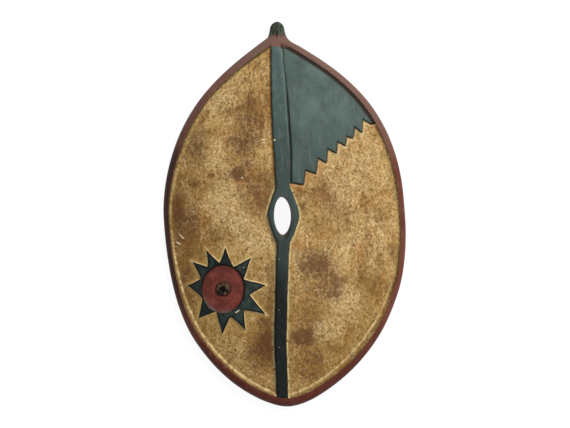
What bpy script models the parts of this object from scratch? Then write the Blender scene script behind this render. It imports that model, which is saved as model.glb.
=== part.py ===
"""A wooden dance shield, carved from one plank and painted.

The whole shield is one piece of wood: a dished oval board with a raised rim, a knob at its head,
a rib that widens into a boss around an eye-shaped hole, a raised panel with a toothed edge, a star
of ten rays with a sunken disk and a nub, and an arm loop left standing in the hollow back.
It lies on its back: +Z is up out of its front, +Y points to the knob, and Z = 0 is the plane that
the rim and the arm loop lie on. Lengths are metres.
"""

import math

import bmesh
import bpy
import numpy as np
from mathutils import Vector
from mathutils.geometry import delaunay_2d_cdt

# Overall size, and the ends of the board within it
LENGTH = 0.612
WIDTH = 0.386
HEAD = 0.4620  # where the two sides of the board would meet, as a share of LENGTH above the middle

# Half widths of the board as shares of WIDTH, at heights that are shares of LENGTH
LEFT_SIDE = (
    (0.4518, 0.0747), (0.4346, 0.1112), (0.4118, 0.1585), (0.3791, 0.2205), (0.3350, 0.2928),
    (0.2859, 0.3568), (0.2288, 0.4119), (0.1634, 0.4558), (0.0899, 0.4864), (0.0163, 0.4995),
    (-0.0572, 0.4945), (-0.1225, 0.4828), (-0.1830, 0.4656), (-0.2451, 0.4386), (-0.3072, 0.3970),
    (-0.3595, 0.3425), (-0.4052, 0.2800), (-0.4412, 0.2155), (-0.4673, 0.1530), (-0.4837, 0.1020),
)
RIGHT_SIDE = (
    (0.4518, 0.0274), (0.4346, 0.0725), (0.4118, 0.1307), (0.3791, 0.2060), (0.3350, 0.2885),
    (0.2859, 0.3580), (0.2288, 0.4146), (0.1634, 0.4574), (0.0899, 0.4850), (0.0163, 0.4962),
    (-0.0572, 0.4999), (-0.1225, 0.4930), (-0.1830, 0.4757), (-0.2451, 0.4417), (-0.3072, 0.3941),
    (-0.3595, 0.3367), (-0.4052, 0.2705), (-0.4412, 0.2030), (-0.4673, 0.1420), (-0.4837, 0.0950),
)

# The knob at the head
KNOB_X = -0.0083
KNOB_WIDTH = 0.0244
KNOB_FOOT_WIDTH = 0.0325
KNOB_LENGTH = 0.0265
KNOB_ROUND = 0.0155
KNOB_TURNS = (0, 25, 50, 72)  # degrees round its end, where its points are
KNOB_TOP = 0.024
KNOB_UNDERSIDE = 0.002
KNOB_EASE = 0.009  # length over which the board's edge turns into the knob's
KNOB_SINK = 0.35  # share of the knob's own height that it has at the board's edge

# The board: its dished front, its wall and the flat band that its back lies on
EDGE_HEIGHT = 0.014
DOME = 0.054
WALL = 0.013
BACK_BAND = 0.014
HOLLOW_EASE = 0.016
SIDE_SHARE = 0.45  # how far up its thickness the board's edge is widest
EDGE_ROUND = 0.006
BACK_ROUND = 0.004

# The raised rim: widths at heights that are shares of LENGTH
RIM_PROUD = 0.006
RIM_TURN = 0.0386  # width across which the left rim's sizes turn into the right rim's
RIM_LEFT = (
    (-0.49, 0.0125), (-0.24, 0.0070), (0.0, 0.0062), (0.16, 0.0088), (0.30, 0.0098), (0.44, 0.0135),
)
RIM_RIGHT = ((-0.49, 0.0135), (-0.26, 0.0098), (0.02, 0.0102), (0.17, 0.0125), (0.44, 0.0120))
RIM_WALL_LEFT = (
    (-0.49, 0.0060), (-0.24, 0.0070), (-0.10, 0.0045), (0.02, 0.0045), (0.16, 0.0075), (0.44, 0.0050),
)
RIM_WALL_RIGHT = ((-0.49, 0.0070), (-0.36, 0.0095), (-0.15, 0.0060), (0.44, 0.0055))

# The rib, whose middle and half width go by shares of LENGTH, and the boss that it widens into
RIB_AXIS = (
    (-0.47, -0.0104), (-0.33, -0.0149), (-0.15, -0.0125), (-0.05, -0.0094), (0.14, -0.0100),
    (0.22, -0.0114), (0.42, -0.0128),
)
RIB_PROUD = 0.007
RIB_BATTER = 0.0015
RIB_HALF = (
    (-0.48, 0.0096), (-0.20, 0.0100), (-0.10, 0.0103), (0.09, 0.0118), (0.19, 0.0134),
    (0.31, 0.0118), (0.43, 0.0086),
)
RIB_UNDER_RIM = 0.1  # share of the rim's width that the rib's ends reach in under
BOSS_Y = -0.0085
BOSS_HALF_LENGTH = 0.0435
BOSS_HALF_WIDTH = 0.0253
BOSS_SHARPNESS = 1.35

# The eye-shaped hole through the boss, set from the boss's middle, and the lip scooped below it
EYE_ASIDE = -0.0011
EYE_DROP = 0.0003
EYE_HALF_WIDTH = 0.0142
EYE_HALF_LENGTH = 0.0298
EYE_POINT = 1.85
LIP_REACH = 0.0105
LIP_SLOPE = 1.1

# The raised panel between rib and rim, and its teeth from the rib outwards:
# lower edge's width, its drop, the lean of the edge beside it and that edge's rise
PANEL_PROUD = 0.0028
PANEL_BATTER = 0.0011
PANEL_GROOVE = 0.0020
PANEL_ABOVE_BOSS = 0.0068
PANEL_UNDER_RIM = 0.4  # share of the rim's width that the panel reaches in under
TEETH = (
    (0.0185, 0.0025, 0.0046, 0.0230),
    (0.0160, 0.0056, 0.0038, 0.0249),
    (0.0138, 0.0077, 0.0029, 0.0220),
    (0.0137, 0.0061, 0.0026, 0.0183),
    (0.0123, 0.0063, 0.0032, 0.0158),
    (0.0101, 0.0030, 0.0038, 0.0191),
    (0.0117, 0.0091, 0.0030, 0.0225),
    (0.0137, 0.0080, 0.0, 0.0),
)

# The star: each ray's bearing in degrees, its reach, and the reach of the notch after it
STAR_X = -0.100
STAR_Y = -0.122
STAR_PROUD = 0.0030
STAR_BATTER = 0.0012
STAR_RAYS = (
    (114.4, 0.0719, 0.0432), (89.5, 0.0678, 0.0379), (50.5, 0.0656, 0.0331), (5.4, 0.0651, 0.0396),
    (-32.7, 0.0766, 0.0446), (-64.1, 0.0740, 0.0446), (-93.8, 0.0736, 0.0378),
    (-132.7, 0.0614, 0.0382), (-188.0, 0.0599, 0.0418), (-221.6, 0.0689, 0.0460),
)
STAR_HOLLOW = 0.0004  # how far the flanks of the rays bend in
DISK_ASIDE = -0.0032
DISK_UP = 0.0007
DISK_HALF_WIDTH = 0.0325
DISK_HALF_LENGTH = 0.0375
DISK_SUNK = 0.0018  # its floor, under the top of the star
NUB_RADIUS = 0.0118
NUB_PROUD = 0.0042
NUB_BATTER = 0.0030
NUB_HOLE_RADIUS = 0.0056
NUB_HOLE_DEPTH = 0.0040

# The arm loop in the back
LOOP_X = -0.0128
LOOP_Y = 0.064
LOOP_SPAN = 0.118
LOOP_WIDTH = 0.036
LOOP_THICKNESS = 0.014
LOOP_BEND = 0.026
LOOP_FLARE = 0.008
LOOP_ROOT = 0.005
LOOP_CORNER = 0.45  # its cut corners, as a share of half its thickness
LOOP_STEPS = (0.0, 0.35, 0.7)  # shares of the straight part of each leg, where its sections are
LOOP_BEND_STEPS = 7

# The one finish that the solid carries
PAINT = (0.36, 0.25, 0.13)
PAINT_ROUGHNESS = 0.62

# Spacing of the points that carry the surface
FACET = 0.0118
BACK_FACET = 0.0142
EDGE_FACET = 0.0095
RIB_FACET = 0.0094
FLANK_STEPS = 3  # lengths in one flank of a ray
CLEARANCE = 0.5  # share of the spacing that a free point keeps to a line
FRONT_RINGS = (0.2, 0.55, 1.0)  # shares of the front's edge round that carry a ring of points
BACK_RINGS = (0.25, 1.0)
CORNERS = 36
AXIS_STEPS = 600
SHARP_ANGLE = 32
MITRE_LIMIT = 0.05
KEPT_DEPTH = 0.93  # a moved point that ends nearer its loop than this share of the width is dropped
HAIR = 1e-6  # points this near count as on a line

# Places that follow from those
SIDE_HEIGHT = SIDE_SHARE * (EDGE_HEIGHT + RIM_PROUD)
PANEL_FOOT = BOSS_Y + BOSS_HALF_LENGTH + PANEL_ABOVE_BOSS
DISK_X, DISK_Y = STAR_X + DISK_ASIDE, STAR_Y + DISK_UP


def at_height(rows, share):
    """Reads a table of (height, value) rows at a height, straight between its rows."""
    rows = sorted(rows)
    return np.interp(share, [row[0] for row in rows], [row[1] for row in rows])


def smooth_step(share):
    share = np.clip(share, 0.0, 1.0)
    return share * share * (3.0 - 2.0 * share)


def smooth_curve(points, spacing, closed=False):
    """Points at even steps along a smooth curve through the given ones, without its last point."""
    points = np.array(points)
    if closed:
        points = np.vstack([points[-1], points, points[:2]])
    else:
        points = np.vstack([2 * points[0] - points[1], points, 2 * points[-1] - points[-2]])
    chords = np.linalg.norm(np.diff(points, axis=0), axis=1)[:, None]
    slopes = np.diff(points, axis=0) / chords
    tangents = (slopes[:-1] * chords[1:] + slopes[1:] * chords[:-1]) / (chords[:-1] + chords[1:])
    found = []
    for start, end, out, into, chord in zip(
        points[1:], points[2:], tangents, tangents[1:], chords[1:, 0]
    ):
        steps = max(1, round(chord / spacing))
        for t in np.arange(steps) / steps:
            found.append(
                (1 + 2 * t) * (1 - t) ** 2 * start + t * (1 - t) ** 2 * chord * out
                + t ** 2 * (3 - 2 * t) * end - t ** 2 * (1 - t) * chord * into
            )
    return np.array(found)


def ellipse(x, y, half_width, half_length, power=2.0, count=CORNERS):
    """A closed oval, which comes to more of a point at its ends as the power falls under 2."""
    turns = np.arange(count) * math.tau / count
    wide = np.sign(np.cos(turns)) * np.abs(np.cos(turns)) ** (2 / power)
    high = np.sin(turns)
    return np.column_stack([x + half_width * wide, y + half_length * high])


def divided(loop, spacing):
    """The closed loop with more points on its long edges."""
    found = []
    for start, end in zip(loop, np.roll(loop, -1, axis=0)):
        steps = max(1, round(math.dist(start, end) / spacing))
        found += [start + (end - start) * step / steps for step in range(steps)]
    return np.array(found)


def inside(points, loop):
    """Which points lie inside the closed loop, counted by the edges to their right."""
    x, y = points[:, 0:1], points[:, 1:2]
    (x0, y0), (x1, y1) = loop.T, np.roll(loop, -1, axis=0).T
    spans = (y0 > y) != (y1 > y)
    rise = np.where(y1 == y0, 1.0, y1 - y0)
    return (spans & (x < x0 + (y - y0) * (x1 - x0) / rise)).sum(axis=1) % 2 == 1


def depth_in(points, loop):
    """Distance from each point to the closed loop, negative outside it."""
    start, run = loop, np.roll(loop, -1, axis=0) - loop
    away = points[:, None, :] - start[None]
    length = np.maximum((run ** 2).sum(axis=1), 1e-18)
    share = np.clip((away * run).sum(axis=2) / length, 0.0, 1.0)
    nearest = np.sqrt(((away - share[..., None] * run) ** 2).sum(axis=2)).min(axis=1)
    return np.where(inside(points, loop), nearest, -nearest)


def inset(loop, widths):
    """The loop moved inwards, mitred at its corners, without the stretches that cross over."""
    widths = np.broadcast_to(widths, len(loop))
    before, after = loop - np.roll(loop, 1, axis=0), np.roll(loop, -1, axis=0) - loop
    normals = []
    for run in (before, after):
        run = run / np.linalg.norm(run, axis=1, keepdims=True)
        normals.append(np.column_stack([-run[:, 1], run[:, 0]]))
    sides = normals[0] + normals[1]
    sides /= np.maximum((sides ** 2).sum(axis=1, keepdims=True) / 2, MITRE_LIMIT)
    moved = loop + sides * widths[:, None]
    return moved[depth_in(moved, loop) > KEPT_DEPTH * widths]


# Plan of the board

def side_points(rows, sign):
    return [(sign * half * WIDTH, height * LENGTH) for height, half in rows]


def sides():
    """Down the left side, round the foot and up the right side."""
    return side_points(LEFT_SIDE, -1) + [(0.0, -LENGTH / 2)] + side_points(RIGHT_SIDE, 1)[::-1]


def board_loop():
    """The board without its knob, anticlockwise from its head."""
    head = [(KNOB_X, HEAD * LENGTH)]
    return smooth_curve(head + sides() + head, EDGE_FACET)


def knob_side(sign):
    """One side of the knob, from its shoulder up to its round end."""
    end = LENGTH / 2
    shoulder = (KNOB_X + sign * KNOB_FOOT_WIDTH / 2, end - KNOB_LENGTH)
    return [shoulder] + [
        (KNOB_X + sign * KNOB_WIDTH / 2 * math.cos(turn), end - KNOB_ROUND * (1 - math.sin(turn)))
        for turn in np.radians(KNOB_TURNS)
    ]


def outline_loop():
    """The board with its knob, anticlockwise from the top of the knob."""
    around = [(KNOB_X, LENGTH / 2)] + knob_side(-1)[::-1] + sides() + knob_side(1)
    return smooth_curve(around, EDGE_FACET, closed=True)


BOARD = board_loop()
OUTLINE = outline_loop()


def rim_widths(points, left, right):
    shares = points[:, 1] / LENGTH
    share = smooth_step(points[:, 0] / RIM_TURN + 0.5)
    return at_height(left, shares) * (1 - share) + at_height(right, shares) * share


def rim_width(points):
    return rim_widths(points, RIM_LEFT, RIM_RIGHT)


def rim_wall(points):
    return rim_widths(points, RIM_WALL_LEFT, RIM_WALL_RIGHT)


def rib_x(heights):
    return at_height(RIB_AXIS, heights / LENGTH)


def rib_half(heights):
    """Half the rib's width, with the boss where it widens."""
    plain = at_height(RIB_HALF, heights / LENGTH)
    share = np.clip(np.abs(heights - BOSS_Y) / BOSS_HALF_LENGTH, 0.0, 1.0)
    return plain + (BOSS_HALF_WIDTH - plain) * (1 - share ** BOSS_SHARPNESS)


def rib_loop():
    """The rib from rim to rim, anticlockwise."""
    steps = np.linspace(BOARD[:, 1].min(), BOARD[:, 1].max(), AXIS_STEPS)
    axis = np.column_stack([rib_x(steps), steps])
    clear = axis[depth_in(axis, BOARD) > rim_width(axis) * (1 - RIB_UNDER_RIM), 1]
    heights = np.linspace(clear.min(), clear.max(), round(np.ptp(clear) / RIB_FACET))
    half = rib_half(heights)
    right = np.column_stack([rib_x(heights) + half, heights])
    left = np.column_stack([rib_x(heights) - half, heights])
    return np.vstack([right, left[::-1]])


def rib_side(heights):
    """The side of the panel that stands along the rib, across the groove between them."""
    return rib_x(heights) + rib_half(heights) + PANEL_GROOVE


def teeth_points():
    """The toothed edge of the panel, from the rib outwards."""
    found = [(rib_side(PANEL_FOOT), PANEL_FOOT)]
    for width, drop, lean, rise in TEETH:
        found.append((found[-1][0] + width, found[-1][1] - drop))
        found.append((found[-1][0] + lean, found[-1][1] + rise))
    return found[:-1]


def panel_loop():
    """The panel, which runs in under the rim on its outer side."""
    teeth = teeth_points()
    crest = inset(BOARD, (1 - PANEL_UNDER_RIM) * rim_width(BOARD))
    right = crest[np.argmin(crest[:, 1]):]
    past = right[:, 0] > rib_side(right[:, 1])
    along = right[past & (right[:, 1] > teeth[-1][1] + FACET)]
    head = crest[:, 1].max()
    heights = np.linspace(head, PANEL_FOOT, round((head - PANEL_FOOT) / FACET))
    side = np.column_stack([rib_side(heights), heights])
    side = side[inside(side, crest)]
    return np.vstack([teeth, along, side[:-1]])


def star_loop():
    """The star, whose rays have hollow flanks."""
    corners = []
    for ray, (bearing, reach, notch) in enumerate(STAR_RAYS):
        following = STAR_RAYS[(ray + 1) % len(STAR_RAYS)][0]
        between = (bearing + following - (360 if following > bearing else 0)) / 2
        for angle, radius in ((bearing, reach), (between, notch)):
            turn = math.radians(angle)
            corners.append((STAR_X + radius * math.cos(turn), STAR_Y + radius * math.sin(turn)))
    corners = np.array(corners[::-1])
    found = []
    for start, end in zip(corners, np.roll(corners, -1, axis=0)):
        run = end - start
        inwards = np.array([-run[1], run[0]]) / math.dist(start, end) * STAR_HOLLOW
        for share in np.arange(FLANK_STEPS) / FLANK_STEPS:
            found.append(start + share * run + 4 * share * (1 - share) * inwards)
    return np.array(found)


EYE_X, EYE_Y = rib_x(BOSS_Y) + EYE_ASIDE, BOSS_Y - EYE_DROP
RIB = rib_loop()
EYE = ellipse(EYE_X, EYE_Y, EYE_HALF_WIDTH, EYE_HALF_LENGTH, EYE_POINT)
LIP = ellipse(EYE_X, EYE_Y - LIP_REACH / 2, EYE_HALF_WIDTH, EYE_HALF_LENGTH + LIP_REACH / 2, EYE_POINT)
PANEL = panel_loop()
STAR = star_loop()
DISK = ellipse(DISK_X, DISK_Y, DISK_HALF_WIDTH, DISK_HALF_LENGTH)
NUB = ellipse(DISK_X, DISK_Y, NUB_RADIUS, NUB_RADIUS, count=CORNERS // 2)
NUB_HOLE = ellipse(DISK_X, DISK_Y, NUB_HOLE_RADIUS, NUB_HOLE_RADIUS, count=CORNERS // 3)


# Heights of the front and the back

def dome(points):
    """The dished board as a share of its rise: 0 along its edge and 1 at its middle."""
    foot = np.argmin(BOARD[:, 1])
    head = np.argmax(BOARD[:, 1])
    order = np.roll(np.arange(len(BOARD)), -foot)
    head = list(order).index(head)
    right, left = BOARD[order[:head + 1]], BOARD[np.append(order[head:], order[0])][::-1]
    low = np.interp(points[:, 1], left[:, 1], left[:, 0])
    high = np.interp(points[:, 1], right[:, 1], right[:, 0])
    across = (points[:, 0] - (low + high) / 2) / np.maximum((high - low) / 2, 1e-4)
    ends = np.where(points[:, 1] > 0, BOARD[:, 1].max(), -BOARD[:, 1].min())
    along = points[:, 1] / ends
    return np.clip(1 - across ** 2, 0, 1) * np.clip(1 - along ** 2, 0, 1)


def raised(points, loop, proud, batter):
    """A flat-topped form in relief, with its sides sloping over the width of the batter."""
    return proud * np.clip(depth_in(points, loop) / batter, 0.0, 1.0)


def rounded_edge(points, board_round):
    """Share of its full height that the surface has near the outline: a quarter round."""
    on_knob = smooth_step((points[:, 1] - LENGTH / 2 + KNOB_LENGTH) / KNOB_EASE)
    radius = board_round * (1 - on_knob) + KNOB_WIDTH / 2 * on_knob
    share = np.clip((depth_in(points, OUTLINE) - HAIR) / radius, 0.0, 1.0)
    return np.sqrt(1 - (1 - share) ** 2)


def knob_share(points):
    return smooth_step(KNOB_SINK + (points[:, 1] - HEAD * LENGTH) / KNOB_ROUND)


def front_height(points):
    board = depth_in(points, BOARD)
    wall = rim_wall(points)
    rim = RIM_PROUD * np.clip((rim_width(points) + wall - board) / wall, 0.0, 1.0)
    star = raised(points, STAR, STAR_PROUD, STAR_BATTER)
    relief = np.maximum.reduce([
        rim,
        raised(points, RIB, RIB_PROUD, RIB_BATTER),
        raised(points, PANEL, PANEL_PROUD, PANEL_BATTER),
        star - raised(points, DISK, DISK_SUNK, STAR_BATTER),
    ])
    relief += raised(points, NUB, NUB_PROUD, NUB_BATTER)
    relief -= raised(points, NUB_HOLE, NUB_HOLE_DEPTH, NUB_HOLE_RADIUS)
    low = points[:, 1] < EYE_Y
    relief -= np.where(low, LIP_SLOPE * np.clip(depth_in(points, LIP), 0.0, LIP_REACH), 0.0)
    top = EDGE_HEIGHT + DOME * dome(points) + relief
    knob = knob_share(points)
    top = top * (1 - knob) + KNOB_TOP * knob
    return SIDE_HEIGHT + (top - SIDE_HEIGHT) * rounded_edge(points, EDGE_ROUND)


def back_height(points):
    hollow = np.maximum(EDGE_HEIGHT - WALL + DOME * dome(points), 0.0)
    under = hollow * smooth_step((depth_in(points, BOARD) - BACK_BAND) / HOLLOW_EASE)
    under += KNOB_UNDERSIDE * knob_share(points)
    return SIDE_HEIGHT + (under - SIDE_HEIGHT) * rounded_edge(points, BACK_ROUND)


# The board's surfaces

def even_points(spacing):
    """Staggered rows of points over the board."""
    low, high = OUTLINE.min(axis=0), OUTLINE.max(axis=0)
    rows = []
    for row, y in enumerate(np.arange(low[1], high[1], spacing * math.sqrt(0.75))):
        xs = np.arange(low[0] + spacing / 2 * (row % 2), high[0], spacing)
        rows.append(np.column_stack([xs, np.full(len(xs), y)]))
    return np.vstack(rows)


def surface(lines, height, spacing, facing):
    """Triangles between the outline and the eye, with an edge along every one of the lines."""
    lines = [line for line in lines if len(line) > 2]
    fixed = np.vstack(lines)
    free = even_points(spacing)
    near = np.sqrt(((free[:, None, :] - fixed[None]) ** 2).sum(axis=2)).min(axis=1)
    free = free[(near > CLEARANCE * spacing) & inside(free, OUTLINE) & ~inside(free, EYE)]
    edges, first = [], 0
    for line in lines:
        edges += [(first + i, first + (i + 1) % len(line)) for i in range(len(line))]
        first += len(line)
    flat = [Vector(point) for point in np.vstack([fixed, free])]
    found = delaunay_2d_cdt(flat, edges, [], 0, HAIR)
    points = np.array([tuple(point) for point in found[0]])
    faces = np.array([face for face in found[2] if len(face) == 3])
    middles = points[faces].mean(axis=1)
    faces = faces[inside(middles, OUTLINE) & ~inside(middles, EYE)]
    return np.column_stack([points, height(points)]), faces if facing > 0 else faces[:, ::-1]


def relief_lines():
    """The lines that the carving follows: the foot and the top edge of every raised form."""
    lines = [OUTLINE, EYE]
    lines += [inset(OUTLINE, share * EDGE_ROUND) for share in FRONT_RINGS]
    width, wall = rim_width(BOARD), rim_wall(BOARD)
    lines += [inset(BOARD, width), inset(BOARD, width + wall)]
    for loop, batter in ((RIB, RIB_BATTER), (PANEL, PANEL_BATTER), (STAR, STAR_BATTER)):
        loop = divided(loop, FACET)
        lines += [loop, inset(loop, batter)]
    lines += [DISK, inset(DISK, STAR_BATTER)]
    lines += [NUB, inset(NUB, NUB_BATTER), NUB_HOLE]
    return lines


def back_lines():
    lines = [OUTLINE, EYE]
    lines += [inset(OUTLINE, share * BACK_ROUND) for share in BACK_RINGS]
    lines += [inset(BOARD, BACK_BAND + share * HOLLOW_EASE) for share in (0.0, 0.5, 1.0)]
    return lines


def material(name, colour, roughness):
    made = bpy.data.materials.new(name)
    made.use_nodes = True
    shader = made.node_tree.nodes["Principled BSDF"]
    shader.inputs["Base Color"].default_value = (*colour, 1.0)
    shader.inputs["Roughness"].default_value = roughness
    shader.inputs["Metallic"].default_value = 0.0
    return made


def mesh_object(name, mesh, finish):
    mesh.materials.append(finish)
    made = bpy.data.objects.new(name, mesh)
    bpy.context.scene.collection.objects.link(made)
    return made


def shield_board(finish):
    """Front and back surfaces, joined along the outline and by the wall of the eye."""
    body = bmesh.new()
    sides = (
        surface(relief_lines(), front_height, FACET, 1),
        surface(back_lines(), back_height, BACK_FACET, -1),
    )
    for points, faces in sides:
        placed = [body.verts.new(point) for point in points]
        for face in faces:
            body.faces.new([placed[corner] for corner in face])
    bmesh.ops.remove_doubles(body, verts=body.verts, dist=10 * HAIR)
    open_edges = [edge for edge in body.edges if edge.is_boundary]
    bmesh.ops.bridge_loops(body, edges=open_edges)
    bmesh.ops.triangulate(body, faces=[face for face in body.faces if len(face.verts) > 3])
    bmesh.ops.recalc_face_normals(body, faces=body.faces)
    mesh = bpy.data.meshes.new("shield")
    body.to_mesh(mesh)
    body.free()
    return mesh_object("shield", mesh, finish)


def loop_path():
    """The middle line of the arm loop as (x, z, lean, flare), from one root to the other."""
    half, level = LOOP_SPAN / 2, LOOP_THICKNESS / 2
    ends = np.array([[LOOP_X - half, LOOP_Y], [LOOP_X + half, LOOP_Y]])
    roots = back_height(ends) + LOOP_ROOT
    straight = level + LOOP_BEND
    halves = []
    for root in roots:
        leg = [
            (0.0, root + (straight - root) * share, -math.pi / 2, (1 - share) ** 2)
            for share in LOOP_STEPS
        ]
        bend = []
        for turn in np.linspace(0, math.pi / 2, LOOP_BEND_STEPS):
            inwards = LOOP_BEND * (1 - math.cos(turn))
            bend.append((inwards, straight - LOOP_BEND * math.sin(turn), turn - math.pi / 2, 0.0))
        halves.append(leg + bend)
    first = [(LOOP_X - half + x, z, lean, flare) for x, z, lean, flare in halves[0]]
    last = [(LOOP_X + half - x, z, -lean, flare) for x, z, lean, flare in halves[1]]
    return first + last[::-1]


def arm_loop(finish):
    """A strap of wood bent down from the back and up again, wider where it leaves the board."""
    body = bmesh.new()
    rings = []
    for x, z, lean, flare in loop_path():
        half_width = LOOP_WIDTH / 2 + flare * LOOP_FLARE
        half_thick = LOOP_THICKNESS / 2 + flare * LOOP_FLARE / 2
        across = Vector((math.sin(lean), 0.0, -math.cos(lean)))
        middle = Vector((x, LOOP_Y, z))
        rings.append([
            body.verts.new(middle + Vector((0.0, side, 0.0)) + out * across)
            for side, out in section(half_width, half_thick)
        ])
    for first, second in zip(rings, rings[1:]):
        for corner in range(len(first)):
            following = (corner + 1) % len(first)
            body.faces.new((first[corner], first[following], second[following], second[corner]))
    body.faces.new(rings[0][::-1])
    body.faces.new(rings[-1])
    bmesh.ops.recalc_face_normals(body, faces=body.faces)
    mesh = bpy.data.meshes.new("arm_loop")
    body.to_mesh(mesh)
    body.free()
    made = mesh_object("arm_loop", mesh, finish)
    made.hide_render = True
    made.display_type = "WIRE"
    return made


def section(half_width, half_thick):
    """The strap's section: flat faces with cut corners."""
    corner = LOOP_CORNER * half_thick
    narrow, thin = half_width - corner, half_thick - corner
    return (
        (-narrow, -half_thick), (narrow, -half_thick), (half_width, -thin), (half_width, thin),
        (narrow, half_thick), (-narrow, half_thick), (-half_width, thin), (-half_width, -thin),
    )


def main():
    for old in list(bpy.data.objects):
        bpy.data.objects.remove(old)
    paint = material("painted_wood", PAINT, PAINT_ROUGHNESS)
    shield = shield_board(paint)
    strap = arm_loop(paint)
    joined = shield.modifiers.new("arm_loop", "BOOLEAN")
    joined.operation = "UNION"
    joined.solver = "EXACT"
    joined.object = strap
    shield.data.shade_smooth()
    shield.data.set_sharp_from_angle(angle=math.radians(SHARP_ANGLE))


main()
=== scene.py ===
"""The carved and painted wooden shield: its fine surface and its paint.

The shield lies on its back: +Z is up out of its front and +Y points to the knob. Lengths are in
metres, and the distances that the paint reads are in millimetres.
"""

import math

import bmesh
import bpy
import numpy as np
from mathutils import Matrix, Vector, noise
from mathutils.bvhtree import BVHTree
from mathutils.geometry import delaunay_2d_cdt


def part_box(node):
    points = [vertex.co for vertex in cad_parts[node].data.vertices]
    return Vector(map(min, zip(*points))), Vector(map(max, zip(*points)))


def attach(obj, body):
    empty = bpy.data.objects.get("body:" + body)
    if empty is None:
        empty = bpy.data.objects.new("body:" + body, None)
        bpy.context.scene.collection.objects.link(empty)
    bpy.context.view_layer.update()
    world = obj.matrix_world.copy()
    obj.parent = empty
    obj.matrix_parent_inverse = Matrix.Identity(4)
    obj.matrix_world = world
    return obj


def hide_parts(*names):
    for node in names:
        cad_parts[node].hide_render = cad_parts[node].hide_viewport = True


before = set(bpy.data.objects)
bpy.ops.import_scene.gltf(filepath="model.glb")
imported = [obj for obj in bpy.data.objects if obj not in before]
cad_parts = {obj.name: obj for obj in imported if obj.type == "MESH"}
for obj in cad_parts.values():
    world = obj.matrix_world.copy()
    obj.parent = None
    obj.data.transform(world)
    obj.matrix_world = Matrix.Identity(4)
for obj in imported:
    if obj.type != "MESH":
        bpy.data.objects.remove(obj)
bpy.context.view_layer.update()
LOW, HIGH = (np.array(corner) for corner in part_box("shield"))
LENGTH = HIGH[1] - LOW[1]
WIDTH = HIGH[0] - LOW[0]
TOP = HIGH[2]
MM = 1000.0

# The photograph's view: from the shield's left and from below its foot, leaning a little
CAMERA_LEFT = math.radians(6.5)
CAMERA_LOW = math.radians(4.5)
CAMERA_ROLL = 0.0159
CAMERA_DISTANCE = 3.2
CAMERA_AIM = Vector((-0.0008, -0.0024, 0.014))
LENS = 127.64
SENSOR = 36.0

# Light and floor
SUN_BEARING = math.radians(48)
SUN_HEIGHT = math.radians(50)
SUN_ANGLE = math.radians(24)
SUN_STRENGTH = 2.75
SKY_STRENGTH = 0.38
FLOOR_SIDE = 9.0
FLOOR_GLOW = 0.93
FLOOR_SHADE = 0.12
FLOOR_ROUGHNESS = 0.9
FLOOR_DROP = 0.0003
WHITE = (1.0, 1.0, 1.0, 1.0)

# Heights down the board as shares of LENGTH, with its left and its right half width there as
# shares of WIDTH
HEAD = 0.4620
SIDES = (
    (0.4518, 0.0747, 0.0274), (0.4346, 0.1112, 0.0725), (0.4118, 0.1585, 0.1307),
    (0.3791, 0.2205, 0.2060), (0.3350, 0.2928, 0.2885), (0.2859, 0.3568, 0.3580),
    (0.2288, 0.4119, 0.4146), (0.1634, 0.4558, 0.4574), (0.0899, 0.4864, 0.4850),
    (0.0163, 0.4995, 0.4962), (-0.0572, 0.4945, 0.4999), (-0.1225, 0.4828, 0.4930),
    (-0.1830, 0.4656, 0.4757), (-0.2451, 0.4386, 0.4417), (-0.3072, 0.3970, 0.3941),
    (-0.3595, 0.3425, 0.3367), (-0.4052, 0.2800, 0.2705), (-0.4412, 0.2155, 0.2030),
    (-0.4673, 0.1530, 0.1420), (-0.4837, 0.1020, 0.0950),
)

# The knob at the head
KNOB_X = -0.0083
KNOB_WIDTH = 0.0244
KNOB_FOOT_WIDTH = 0.0325
KNOB_LENGTH = 0.0265
KNOB_ROUND = 0.0155
KNOB_TURNS = (0, 25, 50, 72)
KNOB_TOP = 0.024
KNOB_UNDERSIDE = 0.002
KNOB_EASE = 0.009
KNOB_SINK = 0.35

# The board
EDGE_HEIGHT = 0.014
DOME = 0.054
WALL = 0.013
BACK_BAND = 0.014
HOLLOW_EASE = 0.016
SIDE_HEIGHT = 0.009
EDGE_ROUND = 0.006
BACK_ROUND = 0.004

# The rim. RIM is its width and RIM_WALL the width of its inner slope, on the left and the right,
# at heights that are shares of LENGTH
RIM_PROUD = 0.006
RIM_CROWN = 0.0005
RIM_TURN = 0.0386
RIM = (
    (
        (-0.49, 0.0125), (-0.24, 0.0070), (0.0, 0.0062),
        (0.16, 0.0088), (0.30, 0.0098), (0.44, 0.0135),
    ),
    ((-0.49, 0.0135), (-0.26, 0.0098), (0.02, 0.0102), (0.17, 0.0125), (0.44, 0.0120)),
)
RIM_WALL = (
    (
        (-0.49, 0.0060), (-0.24, 0.0070), (-0.10, 0.0045),
        (0.02, 0.0045), (0.16, 0.0075), (0.44, 0.0050),
    ),
    ((-0.49, 0.0070), (-0.36, 0.0095), (-0.15, 0.0060), (0.44, 0.0055)),
)
CREASE_PROUD = 0.0004
CREASE_WIDTH = 0.0016

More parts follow.
